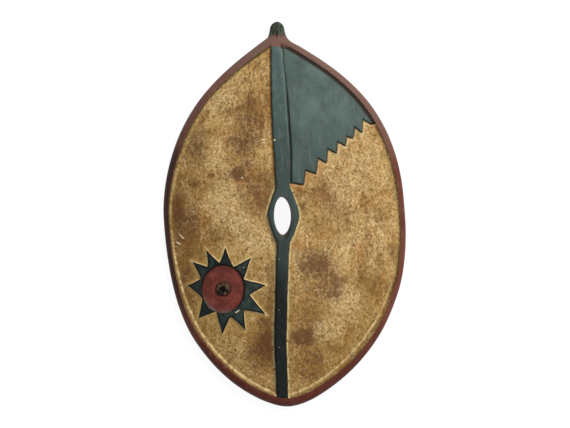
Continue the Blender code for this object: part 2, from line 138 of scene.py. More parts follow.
# The rib, the boss, the eye and its lip
RIB_AXIS = (
    (-0.47, -0.0104), (-0.33, -0.0149), (-0.15, -0.0125), (-0.05, -0.0094), (0.14, -0.0100),
    (0.22, -0.0114), (0.42, -0.0128),
)
RIB_PROUD = 0.007
RIB_BATTER = 0.0015
RIB_HALF = (
    (-0.48, 0.0096), (-0.20, 0.0100), (-0.10, 0.0103), (0.09, 0.0118), (0.19, 0.0134),
    (0.31, 0.0118), (0.43, 0.0086),
)
RIB_UNDER_RIM = 0.1
BOSS_Y = -0.0085
BOSS_HALF_LENGTH = 0.0435
BOSS_HALF_WIDTH = 0.0253
BOSS_SHARPNESS = 1.35
EYE_ASIDE = -0.0011
EYE_DROP = 0.0003
EYE_HALF_WIDTH = 0.0142
EYE_HALF_LENGTH = 0.0298
EYE_POINT = 1.85
EYE_WALL_ROWS = 5
LIP_REACH = 0.0105
LIP_SLOPE = 1.1

# The panel and its teeth: lower edge's width, its drop, the next edge's lean and its rise
PANEL_PROUD = 0.0028
PANEL_BATTER = 0.0011
PANEL_GROOVE = 0.0020
PANEL_ABOVE_BOSS = 0.0068
PANEL_UNDER_RIM = 0.4
TEETH = (
    (0.0185, 0.0025, 0.0046, 0.0230),
    (0.0160, 0.0056, 0.0038, 0.0249),
    (0.0138, 0.0077, 0.0029, 0.0220),
    (0.0137, 0.0061, 0.0026, 0.0183),
    (0.0123, 0.0063, 0.0032, 0.0158),
    (0.0101, 0.0030, 0.0038, 0.0191),
    (0.0117, 0.0091, 0.0030, 0.0225),
    (0.0137, 0.0080, 0.0, 0.0),
)

# The star: each ray's bearing in degrees, its reach, and the reach of the notch after it
STAR_X = -0.100
STAR_Y = -0.122
STAR_PROUD = 0.0030
STAR_BATTER = 0.0012
STAR_RAYS = (
    (114.4, 0.0719, 0.0432), (89.5, 0.0678, 0.0379), (50.5, 0.0656, 0.0331), (5.4, 0.0651, 0.0396),
    (-32.7, 0.0766, 0.0446), (-64.1, 0.0740, 0.0446), (-93.8, 0.0736, 0.0378),
    (-132.7, 0.0614, 0.0382), (-188.0, 0.0599, 0.0418), (-221.6, 0.0689, 0.0460),
)
STAR_HOLLOW = 0.0004
DISK_ASIDE = -0.0032
DISK_UP = 0.0007
DISK_HALF_WIDTH = 0.0325
DISK_HALF_LENGTH = 0.0375
DISK_SUNK = 0.0018
NUB_RADIUS = 0.0118
NUB_PROUD = 0.0042
NUB_BATTER = 0.0030
NUB_HOLE_RADIUS = 0.0056
NUB_HOLE_STRETCH = 1.15
NUB_HOLE_DEPTH = 0.0040
NUB_HOLE_ASIDE = -0.0026
NUB_HOLE_DROP = 0.0022

# The arm loop
LOOP_X = -0.0128
LOOP_Y = 0.064
LOOP_SPAN = 0.118
LOOP_WIDTH = 0.036
LOOP_THICKNESS = 0.014
LOOP_BEND = 0.026
LOOP_FLARE = 0.008
LOOP_ROOT = 0.005
LOOP_SIDES = 36
LOOP_SQUARE = 4.0
LOOP_STEPS = 9
LOOP_BEND_STEPS = 16

# How the tools and the years left the surface
ARRIS_DROP = 0.12
ARRIS_ROUND = 0.0014
FOOT_CUT = 0.0005
FOOT_CUT_WIDTH = 0.0014
WOBBLE = 0.0004
WOBBLE_LENGTH = 0.013
SWELL = 0.0005
SWELL_LENGTH = 0.045
SWELL_ON_FORMS = 0.35
SWELL_ON_RIM = 0.5
RIPPLE = 0.00016
RIPPLE_LENGTH = 0.007
FRONT_SCOOP = 0.00028
FRONT_SCOOP_SIZE = (0.011, 0.019)
BACK_SCOOP = 0.0009
BACK_SCOOP_SIZE = (0.015, 0.030)
SCOOP_TABLE = 64

# Cracks and pits, then scratches and flecks in the paint: where each starts and ends, its half
# width and its depth. The first is the slit in the neck of the knob
CRACKS = (
    ((-0.0094, 0.2915), (-0.0109, 0.2761), 0.0012, 0.0030),
    ((-0.0150, 0.1120), (-0.0035, 0.1042), 0.0005, 0.0005),
    ((0.0177, 0.0991), (0.0351, 0.0960), 0.0005, 0.0004),
    ((0.0180, -0.0930), (0.0202, -0.0990), 0.0013, 0.0008),
    ((0.0588, -0.2046), (0.0622, -0.2058), 0.0016, 0.0009),
)
SCRATCHES = (
    ((-0.1722, -0.0308), (-0.1594, -0.0445), 0.0011, 0.0003),
    ((-0.1751, -0.0446), (-0.1654, -0.0514), 0.0013, 0.0003),
    ((-0.0420, 0.1110), (-0.0335, 0.1105), 0.0012, 0.0002),
    ((-0.0405, 0.1062), (-0.0345, 0.1060), 0.0010, 0.0002),
    ((-0.0226, 0.1078), (-0.0196, 0.1112), 0.0019, 0.0004),
    ((-0.0731, 0.0496), (-0.0715, 0.0532), 0.0018, 0.0004),
    ((-0.0861, -0.1597), (-0.0770, -0.1537), 0.0012, 0.0002),
    ((-0.0724, -0.0896), (-0.0710, -0.0880), 0.0012, 0.0003),
    ((-0.0178, -0.0782), (-0.0174, -0.0768), 0.0009, 0.0002),
    ((-0.0178, -0.1562), (-0.0174, -0.1548), 0.0010, 0.0002),
    ((-0.0173, -0.2142), (-0.0169, -0.2128), 0.0009, 0.0002),
)

# Stains in the paint of the field: middle, half sizes and strength
STAINS = (
    (-0.142, 0.102, 0.020, 0.028, 0.60), (-0.056, 0.137, 0.022, 0.036, 0.55),
    (-0.077, 0.100, 0.018, 0.022, 0.50), (-0.080, 0.058, 0.009, 0.009, 0.95),
    (-0.066, 0.066, 0.024, 0.022, 0.42), (-0.048, 0.028, 0.032, 0.034, 0.60),
    (-0.172, 0.008, 0.009, 0.024, 0.65), (-0.158, -0.024, 0.020, 0.034, 0.65),
    (-0.156, -0.110, 0.013, 0.040, 0.50), (-0.042, -0.222, 0.024, 0.026, 0.95),
    (-0.034, -0.175, 0.016, 0.034, 0.72), (-0.030, -0.105, 0.009, 0.030, 0.50),
    (0.050, -0.105, 0.034, 0.034, 0.48), (0.034, -0.082, 0.022, 0.024, 0.45),
    (0.020, -0.199, 0.017, 0.012, 0.92), (0.030, -0.172, 0.022, 0.028, 0.45),
    (0.034, -0.238, 0.024, 0.028, 0.48), (0.074, -0.120, 0.018, 0.020, 0.45),
    (0.066, 0.010, 0.030, 0.040, 0.22), (-0.150, 0.165, 0.020, 0.012, 0.25),
)

# Places where the ochre is thick and pale: middle, half sizes and strength
LIGHTS = (
    (-0.106, 0.186, 0.034, 0.030, 0.80), (-0.110, 0.086, 0.014, 0.030, 0.75),
    (-0.096, 0.004, 0.030, 0.042, 0.85), (-0.058, -0.034, 0.024, 0.026, 0.70),
    (0.094, 0.056, 0.034, 0.042, 0.55), (0.086, 0.000, 0.026, 0.032, 0.45),
    (0.138, -0.040, 0.026, 0.046, 0.55), (0.086, -0.140, 0.030, 0.030, 0.90),
    (0.060, -0.188, 0.026, 0.020, 0.85), (-0.092, -0.210, 0.026, 0.024, 0.55),
    (-0.040, -0.112, 0.014, 0.026, 0.55), (0.134, 0.090, 0.022, 0.030, 0.35),
)

# Spacing of the points that carry the surface
FINE = 0.0021
BACK_FINE = 0.0036
CURVE_FINE = 0.0040
EYE_CORNERS = 72
CLEARANCE = 0.55
FLANK_STEPS = 8
AXIS_STEPS = 600
CHUNK = 4000
FENCE = 0.01
MITRE_LIMIT = 0.05
FRONT_RINGS = (0.04, 0.14, 0.30, 0.52, 0.76, 1.0)
BACK_RINGS = (0.10, 0.35, 1.0)
MARK_CORE = 0.5
KEPT_DEPTH = 0.93
SHARP_ANGLE = math.radians(50)

# Least lengths, and a distance further than any that counts
HAIR = 1e-6
THIN = 1e-4
SLACK = 0.0004
STRAP_CLEAR = 0.001
FAR = 9.0


def at_height(rows, share):
    """Reads a table of (height, value) rows at a height, straight between its rows."""
    rows = sorted(rows)
    return np.interp(share, [row[0] for row in rows], [row[1] for row in rows])


def smooth_step(share):
    share = np.clip(share, 0.0, 1.0)
    return share * share * (3.0 - 2.0 * share)


def smooth_curve(points, spacing, closed=False):
    """Points at even steps along a smooth curve through the given ones, without its last point."""
    points = np.array(points)
    if closed:
        points = np.vstack([points[-1], points, points[:2]])
    else:
        points = np.vstack([2 * points[0] - points[1], points, 2 * points[-1] - points[-2]])
    chords = np.linalg.norm(np.diff(points, axis=0), axis=1)[:, None]
    slopes = np.diff(points, axis=0) / chords
    tangents = (slopes[:-1] * chords[1:] + slopes[1:] * chords[:-1]) / (chords[:-1] + chords[1:])
    found = []
    for start, end, out, into, chord in zip(
        points[1:], points[2:], tangents, tangents[1:], chords[1:, 0]
    ):
        steps = max(1, round(chord / spacing))
        for t in np.arange(steps) / steps:
            found.append(
                (1 + 2 * t) * (1 - t) ** 2 * start + t * (1 - t) ** 2 * chord * out
                + t ** 2 * (3 - 2 * t) * end - t ** 2 * (1 - t) * chord * into
            )
    return np.array(found)


def oval(x, y, half_width, half_length, power=2.0, spacing=FINE, lean=0.0):
    """A closed oval, which comes to more of a point at its ends as the power falls under 2."""
    around = math.pi * (half_width + half_length)
    turns = np.arange(max(12, round(around / spacing))) * math.tau
    turns /= len(turns)
    wide = half_width * np.sign(np.cos(turns)) * np.abs(np.cos(turns)) ** (2 / power)
    high = half_length * np.sin(turns)
    return np.column_stack([
        x + wide * math.cos(lean) - high * math.sin(lean),
        y + wide * math.sin(lean) + high * math.cos(lean),
    ])


def divided(loop, spacing):
    """The closed loop with more points on its long edges."""
    found = []
    for start, end in zip(loop, np.roll(loop, -1, axis=0)):
        steps = max(1, round(math.dist(start, end) / spacing))
        found += [start + (end - start) * step / steps for step in range(steps)]
    return np.array(found)


def crossed(points, loop):
    """Which points have an odd number of the loop's edges to their right."""
    x, y = points[:, 0:1], points[:, 1:2]
    (x0, y0), (x1, y1) = loop.T, np.roll(loop, -1, axis=0).T
    spans = (y0 > y) != (y1 > y)
    rise = np.where(y1 == y0, 1.0, y1 - y0)
    return (spans & (x < x0 + (y - y0) * (x1 - x0) / rise)).sum(axis=1) % 2 == 1


def inside(points, loop):
    found = np.zeros(len(points), bool)
    near = ((points > loop.min(axis=0)) & (points < loop.max(axis=0))).all(axis=1)
    where = np.where(near)[0]
    for first in range(0, len(where), CHUNK):
        some = where[first:first + CHUNK]
        found[some] = crossed(points[some], loop)
    return found


def depth_in(points, loop):
    """Distance from each point to the closed loop, negative outside it."""
    fence = [(x, y, z) for z in (-FENCE, FENCE) for x, y in loop]
    count = len(loop)
    boards = [(i, (i + 1) % count, count + (i + 1) % count, count + i) for i in range(count)]
    tree = BVHTree.FromPolygons(fence, boards)
    nearest = np.array([tree.find_nearest((x, y, 0.0))[3] for x, y in points])
    return np.where(inside(points, loop), nearest, -nearest)


def inset(loop, widths):
    """The loop moved inwards, mitred at its corners, without the stretches that cross over."""
    widths = np.broadcast_to(widths, len(loop))
    before, after = loop - np.roll(loop, 1, axis=0), np.roll(loop, -1, axis=0) - loop
    normals = []
    for run in (before, after):
        run = run / np.linalg.norm(run, axis=1, keepdims=True)
        normals.append(np.column_stack([-run[:, 1], run[:, 0]]))
    sides = normals[0] + normals[1]
    sides /= np.maximum((sides ** 2).sum(axis=1, keepdims=True) / 2, MITRE_LIMIT)
    moved = loop + sides * widths[:, None]
    signed = depth_in(moved, loop) * np.sign(widths)
    return moved[signed > KEPT_DEPTH * np.abs(widths)]


def rough(points, length, seed):
    """Smooth noise over the points, about -1 to 1, whose swells are about that long."""
    return np.array([noise.noise(Vector((x / length, y / length, seed))) for x, y in points]) * 2


def hand_cut(loop, seed):
    """The loop as a knife follows it: divided finely, and never quite straight."""
    loop = divided(loop, FINE)
    sway = [rough(loop, WOBBLE_LENGTH, seed + axis) for axis in (0.3, 7.7)]
    return loop + WOBBLE * np.column_stack(sway)


def scoops(points, size, seed):
    """Marks of a round gouge: 0 at the middle of each and 1 on the ridges between them."""
    jitter = np.random.default_rng(seed).random((SCOOP_TABLE, SCOOP_TABLE, 2))
    cells = points / size
    corner = np.floor(cells).astype(int)
    nearest = np.full(len(points), FAR)
    for right in (-1, 0, 1):
        for up in (-1, 0, 1):
            cell = corner + (right, up)
            middle = cell + jitter[cell[:, 0] % SCOOP_TABLE, cell[:, 1] % SCOOP_TABLE]
            nearest = np.minimum(nearest, ((cells - middle) ** 2).sum(axis=1))
    return np.clip(nearest, 0.0, 1.0)


# Plan of the board

def sides():
    """Down the left side, round the foot and up the right side."""
    left = [(-half * WIDTH, height * LENGTH) for height, half, _ in SIDES]
    right = [(half * WIDTH, height * LENGTH) for height, _, half in SIDES]
    return left + [(0.0, -LENGTH / 2)] + right[::-1]


def board_loop():
    """The board without its knob, anticlockwise from its head."""
    head = [(KNOB_X, HEAD * LENGTH)]
    return smooth_curve(head + sides() + head, CURVE_FINE)


def knob_side(sign):
    """One side of the knob, from its shoulder up to its round end."""
    end = LENGTH / 2
    shoulder = (KNOB_X + sign * KNOB_FOOT_WIDTH / 2, end - KNOB_LENGTH)
    return [shoulder] + [
        (KNOB_X + sign * KNOB_WIDTH / 2 * math.cos(turn), end - KNOB_ROUND * (1 - math.sin(turn)))
        for turn in np.radians(KNOB_TURNS)
    ]


def outline_loop():
    """The board with its knob, anticlockwise from its top, kept inside the solid's box."""
    around = [(KNOB_X, LENGTH / 2)] + knob_side(-1)[::-1] + sides() + knob_side(1)
    return np.clip(smooth_curve(around, FINE, closed=True), LOW[:2] + HAIR, HIGH[:2] - HAIR)


BOARD = board_loop()
OUTLINE = outline_loop()


def rim_widths(points, sides_of_rim):
    """A measure of the rim at each point, from its rows for the left and for the right."""
    left, right = (at_height(rows, points[:, 1] / LENGTH) for rows in sides_of_rim)
    share = smooth_step(points[:, 0] / RIM_TURN + 0.5)
    return left * (1 - share) + right * share


def rib_x(heights):
    return at_height(RIB_AXIS, heights / LENGTH)


def rib_half(heights):
    """Half the rib's width, with the boss where it widens."""
    plain = at_height(RIB_HALF, heights / LENGTH)
    share = np.clip(np.abs(heights - BOSS_Y) / BOSS_HALF_LENGTH, 0.0, 1.0)
    return plain + (BOSS_HALF_WIDTH - plain) * (1 - share ** BOSS_SHARPNESS)


def rib_loop():
    """The rib from rim to rim, anticlockwise."""
    steps = np.linspace(BOARD[:, 1].min(), BOARD[:, 1].max(), AXIS_STEPS)
    axis = np.column_stack([rib_x(steps), steps])
    under = rim_widths(axis, RIM) * (1 - RIB_UNDER_RIM)
    clear = axis[depth_in(axis, BOARD) > under, 1]
    heights = np.linspace(clear.min(), clear.max(), round(np.ptp(clear) / CURVE_FINE))
    half = rib_half(heights)
    right = np.column_stack([rib_x(heights) + half, heights])
    left = np.column_stack([rib_x(heights) - half, heights])
    return np.vstack([right, left[::-1]])


def rib_side(heights):
    """The side of the panel that stands along the rib, across the groove between them."""
    return rib_x(heights) + rib_half(heights) + PANEL_GROOVE


def teeth_points(foot):
    """The toothed edge of the panel, from the rib outwards."""
    found = [(rib_side(foot), foot)]
    for width, drop, lean, rise in TEETH:
        found.append((found[-1][0] + width, found[-1][1] - drop))
        found.append((found[-1][0] + lean, found[-1][1] + rise))
    return found[:-1]


def panel_loop():
    """The panel, which runs in under the rim on its outer side."""
    foot = BOSS_Y + BOSS_HALF_LENGTH + PANEL_ABOVE_BOSS
    teeth = teeth_points(foot)
    crest = inset(BOARD, (1 - PANEL_UNDER_RIM) * rim_widths(BOARD, RIM))
    right = crest[np.argmin(crest[:, 1]):]
    past = right[:, 0] > rib_side(right[:, 1])
    along = right[past & (right[:, 1] > teeth[-1][1] + CURVE_FINE)]
    head = crest[:, 1].max()
    heights = np.linspace(head, foot, round((head - foot) / CURVE_FINE))
    side = np.column_stack([rib_side(heights), heights])
    side = side[inside(side, crest)]
    return np.vstack([teeth, along, side[:-1]])


def star_loop():
    """The star, whose rays have hollow flanks."""
    corners = []
    for ray, (bearing, reach, notch) in enumerate(STAR_RAYS):
        following = STAR_RAYS[(ray + 1) % len(STAR_RAYS)][0]
        between = (bearing + following - (360 if following > bearing else 0)) / 2
        for angle, radius in ((bearing, reach), (between, notch)):
            turn = math.radians(angle)
            corners.append((STAR_X + radius * math.cos(turn), STAR_Y + radius * math.sin(turn)))
    corners = np.array(corners[::-1])
    found = []
    for start, end in zip(corners, np.roll(corners, -1, axis=0)):
        run = end - start
        inwards = np.array([-run[1], run[0]]) / math.dist(start, end) * STAR_HOLLOW
        for share in np.arange(FLANK_STEPS) / FLANK_STEPS:
            found.append(start + share * run + 4 * share * (1 - share) * inwards)
    return np.array(found)


def sliver(start, end, half_width):
    """A thin pointed oval from one point to the other."""
    run = np.array(end) - start
    middle = (np.array(end) + start) / 2
    lean = math.atan2(run[1], run[0]) - math.pi / 2
    length = np.linalg.norm(run) / 2
    return oval(*middle, half_width, length, EYE_POINT, min(FINE / 2, half_width), lean)


def core(start, end, half_width):
    """The middle of such an oval, where it is deepest."""
    inward = (np.array(end) - start) * (1 - MARK_CORE) / 2
    return sliver(start + inward, end - inward, half_width * MARK_CORE)


EYE_X, EYE_Y = rib_x(BOSS_Y) + EYE_ASIDE, BOSS_Y - EYE_DROP
DISK_X, DISK_Y = STAR_X + DISK_ASIDE, STAR_Y + DISK_UP
EYE_SPACING = math.pi * (EYE_HALF_WIDTH + EYE_HALF_LENGTH) / EYE_CORNERS
EYE = oval(EYE_X, EYE_Y, EYE_HALF_WIDTH, EYE_HALF_LENGTH, EYE_POINT, EYE_SPACING)
LIP_HALF_LENGTH = EYE_HALF_LENGTH + LIP_REACH / 2
LIP = oval(EYE_X, EYE_Y - LIP_REACH / 2, EYE_HALF_WIDTH, LIP_HALF_LENGTH, EYE_POINT)
RIB = hand_cut(rib_loop(), 1)
PANEL = hand_cut(panel_loop(), 2)
STAR = hand_cut(star_loop(), 3)
DISK = hand_cut(oval(DISK_X, DISK_Y, DISK_HALF_WIDTH, DISK_HALF_LENGTH), 4)
NUB = hand_cut(oval(DISK_X, DISK_Y, NUB_RADIUS, NUB_RADIUS), 5)
HOLE_X, HOLE_Y = DISK_X + NUB_HOLE_ASIDE, DISK_Y - NUB_HOLE_DROP
HOLE_LENGTH = NUB_HOLE_RADIUS * NUB_HOLE_STRETCH
HOLE = oval(HOLE_X, HOLE_Y, NUB_HOLE_RADIUS, HOLE_LENGTH, spacing=FINE / 2)
CRACK_LOOPS = [sliver(*mark[:3]) for mark in CRACKS]
SCRATCH_LOOPS = [sliver(*mark[:3]) for mark in SCRATCHES]
MARK_CORES = [core(*mark[:3]) for mark in CRACKS + SCRATCHES]


# Heights of the front and the back

def dome(points):
    """The dished board as a share of its rise: 0 along its edge and 1 at its middle."""
    foot = np.argmin(BOARD[:, 1])
    head = np.argmax(BOARD[:, 1])
    order = np.roll(np.arange(len(BOARD)), -foot)
    head = list(order).index(head)
    right, left = BOARD[order[:head + 1]], BOARD[np.append(order[head:], order[0])][::-1]
    low = np.interp(points[:, 1], left[:, 1], left[:, 0])
    high = np.interp(points[:, 1], right[:, 1], right[:, 0])
    across = (points[:, 0] - (low + high) / 2) / np.maximum((high - low) / 2, THIN)
    ends = np.where(points[:, 1] > 0, BOARD[:, 1].max(), -BOARD[:, 1].min())
    along = points[:, 1] / ends
    return np.clip(1 - across ** 2, 0, 1) * np.clip(1 - along ** 2, 0, 1)


def raised(depth, proud, batter):
    """A flat-topped form in relief: a steep wall, a worn arris, and a cut along its foot."""
    wall = np.clip(depth / batter, 0.0, 1.0)
    top = smooth_step((depth - batter) / ARRIS_ROUND)
    cut = FOOT_CUT * np.clip(1 + depth / FOOT_CUT_WIDTH, 0.0, 1.0) * (depth < 0)
    return proud * ((1 - ARRIS_DROP) * wall + ARRIS_DROP * top) - cut


def rounded_edge(points, outline, board_round):
    """Share of its full height that the surface has near the outline: a quarter round."""
    on_knob = smooth_step((points[:, 1] - LENGTH / 2 + KNOB_LENGTH) / KNOB_EASE)
    radius = board_round * (1 - on_knob) + KNOB_WIDTH / 2 * on_knob
    share = np.clip((outline - HAIR) / radius, 0.0, 1.0)
    return np.sqrt(1 - (1 - share) ** 2)


def knob_share(points):
    return smooth_step(KNOB_SINK + (points[:, 1] - HEAD * LENGTH) / KNOB_ROUND)


def measure(points):
    """Depth of each point inside each of the front's forms."""
    loops = {
        "board": BOARD, "outline": OUTLINE, "rib": RIB, "panel": PANEL, "star": STAR,
        "disk": DISK, "nub": NUB, "hole": HOLE, "lip": LIP, "eye": EYE,
    }
    found = {name: depth_in(points, loop) for name, loop in loops.items()}
    found["rim"] = rim_widths(points, RIM) - found["board"]
    found["wall"] = found["rim"] + rim_widths(points, RIM_WALL)
    return found


def marks(points, loops, rows):
    """For each point, the depth cut by these marks, and its share of the deepest."""
    cut, share = np.zeros(len(points)), np.zeros(len(points))
    for loop, (start, end, half_width, depth) in zip(loops, rows):
        reach = np.abs(points - (np.array(start) + end) / 2).max(axis=1) < math.dist(start, end)
        near = np.where(reach)[0]
        within = np.clip(depth_in(points[near], loop) / half_width, 0.0, 1.0)
        cut[near] = np.maximum(cut[near], depth * within)
        share[near] = np.maximum(share[near], within)
    return cut, share


def front_height(points, depths=None):
    depths = depths or measure(points)
    wall = depths["wall"] - depths["rim"]
    rim = RIM_PROUD * np.clip(depths["wall"] / wall, 0.0, 1.0)
    middle = np.clip(1 + depths["rim"] / np.maximum(depths["board"], HAIR), 1.0, FAR)
    rim += RIM_CROWN * smooth_step(depths["rim"] / (middle * EDGE_ROUND / 2))
    crease = np.clip(1 - np.abs(depths["wall"]) / CREASE_WIDTH, 0.0, 1.0)
    star = raised(depths["star"], STAR_PROUD, STAR_BATTER)
    star -= DISK_SUNK * smooth_step(depths["disk"] / STAR_BATTER)
    relief = np.maximum.reduce([
        rim + CREASE_PROUD * crease,
        raised(depths["rib"], RIB_PROUD, RIB_BATTER),
        raised(depths["panel"], PANEL_PROUD, PANEL_BATTER) * (depths["panel"] > -FOOT_CUT_WIDTH),
        star * (depths["star"] > -FOOT_CUT_WIDTH),
    ])
    cut = np.minimum.reduce([
        raised(depths[name], 0.0, RIB_BATTER) for name in ("rib", "panel", "star")
    ])
    plain = np.maximum.reduce([depths["rim"], depths["rib"], depths["panel"], depths["star"]]) < 0
    relief += cut * plain
    relief += NUB_PROUD * smooth_step(depths["nub"] / NUB_BATTER)
    relief -= NUB_HOLE_DEPTH * smooth_step(depths["hole"] / NUB_HOLE_RADIUS)
    low = points[:, 1] < EYE_Y
    relief -= np.where(low, LIP_SLOPE * np.clip(depths["lip"], 0.0, LIP_REACH), 0.0)
    open_field = np.where(plain, 1.0, SWELL_ON_FORMS)
    open_field *= np.where(depths["rim"] > 0, SWELL_ON_RIM, 1.0)
    relief += SWELL * open_field * rough(points, SWELL_LENGTH, 11)
    relief += RIPPLE * rough(points, RIPPLE_LENGTH, 12)
    relief += FRONT_SCOOP * open_field * (scoops(points, FRONT_SCOOP_SIZE, 13) - 0.5)
    relief -= marks(points, CRACK_LOOPS, CRACKS)[0] + marks(points, SCRATCH_LOOPS, SCRATCHES)[0]
    top = EDGE_HEIGHT + DOME * dome(points) + relief
    knob = knob_share(points)
    top = top * (1 - knob) + (KNOB_TOP + RIPPLE * rough(points, RIPPLE_LENGTH, 14)) * knob
    top -= marks(points, CRACK_LOOPS[:1], CRACKS[:1])[0] * knob
    edge = rounded_edge(points, depths["outline"], EDGE_ROUND)
    height = SIDE_HEIGHT + (top - SIDE_HEIGHT) * edge
    return np.minimum(height, TOP - HAIR)


def back_height(points):
    board = depth_in(points, BOARD)
    hollow = np.maximum(EDGE_HEIGHT - WALL + DOME * dome(points), 0.0)
    hollow += BACK_SCOOP * (scoops(points, BACK_SCOOP_SIZE, 21) - 1.0)
    under = hollow * smooth_step((board - BACK_BAND) / HOLLOW_EASE)
    under += KNOB_UNDERSIDE * knob_share(points)
    edge = rounded_edge(points, depth_in(points, OUTLINE), BACK_ROUND)
    height = SIDE_HEIGHT + (under - SIDE_HEIGHT) * edge
    return np.maximum(height, 0.0)


# The board's surfaces

def even_points(spacing):
    """Staggered rows of points over the board."""
    low, high = OUTLINE.min(axis=0), OUTLINE.max(axis=0)
    rows = []
    for row, y in enumerate(np.arange(low[1], high[1], spacing * math.sqrt(0.75))):
        xs = np.arange(low[0] + spacing / 2 * (row % 2), high[0], spacing)
        rows.append(np.column_stack([xs, np.full(len(xs), y)]))
    return np.vstack(rows)


def clear_of(free, fixed, distance):
    """The free points that are further than that from every fixed one."""
    cells = {}
    for x, y in fixed:
        cells.setdefault((int(x // distance), int(y // distance)), []).append((x, y))
    kept = []
    for x, y in free:
        column, row = int(x // distance), int(y // distance)
        near = (
            point
            for right in (-1, 0, 1)
            for up in (-1, 0, 1)
            for point in cells.get((column + right, row + up), ())
        )
        if all(math.dist((x, y), point) > distance for point in near):
            kept.append((x, y))
    return np.array(kept)


def surface(lines, height, spacing, facing):
    """Triangles between the outline and the eye, with an edge along every one of the lines."""
    lines = [line for line in lines if len(line) > 2]
    fixed = np.vstack(lines)
    free = clear_of(even_points(spacing), fixed, CLEARANCE * spacing)
    free = free[inside(free, OUTLINE) & ~inside(free, EYE)]
    edges, first = [], 0
    for line in lines:
        edges += [(first + i, first + (i + 1) % len(line)) for i in range(len(line))]
        first += len(line)
    flat = [Vector(point) for point in np.vstack([fixed, free])]
    found = delaunay_2d_cdt(flat, edges, [], 0, HAIR)
    points = np.array([tuple(point) for point in found[0]])
    faces = np.array([face for face in found[2] if len(face) == 3])
    middles = points[faces].mean(axis=1)
    faces = faces[inside(middles, OUTLINE) & ~inside(middles, EYE)]
    return np.column_stack([points, height(points)]), faces if facing > 0 else faces[:, ::-1]


def relief_lines():
    """The lines that the carving follows: the foot, the arris and the top of every raised form."""
    lines = [OUTLINE, EYE]
    lines += [inset(OUTLINE, share * EDGE_ROUND) for share in FRONT_RINGS]
    width = rim_widths(BOARD, RIM)
    wall = rim_widths(BOARD, RIM_WALL)
    crease = width + wall
    for reach in (width, crease - CREASE_WIDTH, crease, crease + CREASE_WIDTH):
        lines.append(inset(BOARD, reach))
    for loop, batter in ((RIB, RIB_BATTER), (PANEL, PANEL_BATTER), (STAR, STAR_BATTER)):
        arris = (batter, batter + ARRIS_ROUND / 2, batter + ARRIS_ROUND)
        lines += [inset(loop, depth) for depth in (-FOOT_CUT_WIDTH, HAIR, *arris)]
    for loop, batter in ((DISK, STAR_BATTER), (NUB, NUB_BATTER)):
        lines += [loop, inset(loop, batter / 2), inset(loop, batter)]
    lines += [HOLE, inset(HOLE, NUB_HOLE_RADIUS / 2)]
    lines += CRACK_LOOPS + SCRATCH_LOOPS + MARK_CORES
    return lines


def back_lines():
    lines = [OUTLINE, EYE]
    lines += [inset(OUTLINE, share * BACK_ROUND) for share in BACK_RINGS]
    lines += [inset(BOARD, BACK_BAND + share * HOLLOW_EASE) for share in (0.0, 0.5, 1.0)]
    return lines


def eye_wall(body):
    """Joins the front to the back round the eye, in a wall that the knife left a little uneven."""
    open_edges = [edge for edge in body.edges if edge.is_boundary]
    made = bmesh.ops.bridge_loops(body, edges=open_edges)
    cut = bmesh.ops.subdivide_edges(
        body, edges=made["edges"], cuts=EYE_WALL_ROWS, use_grid_fill=True, use_only_quads=True
    )
    for part in cut["geom_inner"]:
        if isinstance(part, bmesh.types.BMVert):
            out = Vector((part.co.x - EYE_X, part.co.y - EYE_Y, 0.0)).normalized()
            part.co += out * WOBBLE * noise.noise(part.co / RIPPLE_LENGTH)


def shield_board():
    body = bmesh.new()
    surfaces = (
        surface(relief_lines(), front_height, FINE, 1),
        surface(back_lines(), back_height, BACK_FINE, -1),
    )
    for points, faces in surfaces:
        placed = [body.verts.new(point) for point in points]
        for face in faces:
            body.faces.new([placed[corner] for corner in face])
    bmesh.ops.remove_doubles(body, verts=body.verts, dist=10 * HAIR)
    eye_wall(body)
    bmesh.ops.triangulate(body, faces=[face for face in body.faces if len(face.verts) > 3])
    bmesh.ops.recalc_face_normals(body, faces=body.faces)
    return mesh_object("carved_shield", body)


def mesh_object(name, body):
    mesh = bpy.data.meshes.new(name)
    body.to_mesh(mesh)
    body.free()
    return placed(name, mesh)


def placed(name, data):
    made = bpy.data.objects.new(name, data)
    bpy.context.scene.collection.objects.link(made)
    return made


def loop_path():
    """The middle line of the arm loop as (x, z, lean, flare), from one root to the other."""
    half, level = LOOP_SPAN / 2, LOOP_THICKNESS / 2
    ends = np.array([[LOOP_X - half, LOOP_Y], [LOOP_X + half, LOOP_Y]])
    straight = level + LOOP_BEND
    halves = []
    for root in back_height(ends) + LOOP_ROOT:
        leg = [
            (0.0, root + (straight - root) * share, -math.pi / 2, (1 - share) ** 2)
            for share in np.arange(LOOP_STEPS) / LOOP_STEPS
        ]
        for turn in np.linspace(0, math.pi / 2, LOOP_BEND_STEPS):
            inwards = LOOP_BEND * (1 - math.cos(turn))
            leg.append((inwards, straight - LOOP_BEND * math.sin(turn), turn - math.pi / 2, 0.0))
        halves.append(leg)
    first = [(LOOP_X - half + x, z, lean, flare) for x, z, lean, flare in halves[0]]
    last = [(LOOP_X + half - x, z, -lean, flare) for x, z, lean, flare in halves[1]]
    return first + last[::-1]


def loop_section(half_width, half_thick):
    """A rounded oblong: the strap's section."""
    for turn in np.arange(LOOP_SIDES) * math.tau / LOOP_SIDES:
        side, out = math.cos(turn), math.sin(turn)
        size = (abs(side) ** LOOP_SQUARE + abs(out) ** LOOP_SQUARE) ** (-1 / LOOP_SQUARE)
        yield half_width * side * size, half_thick * out * size


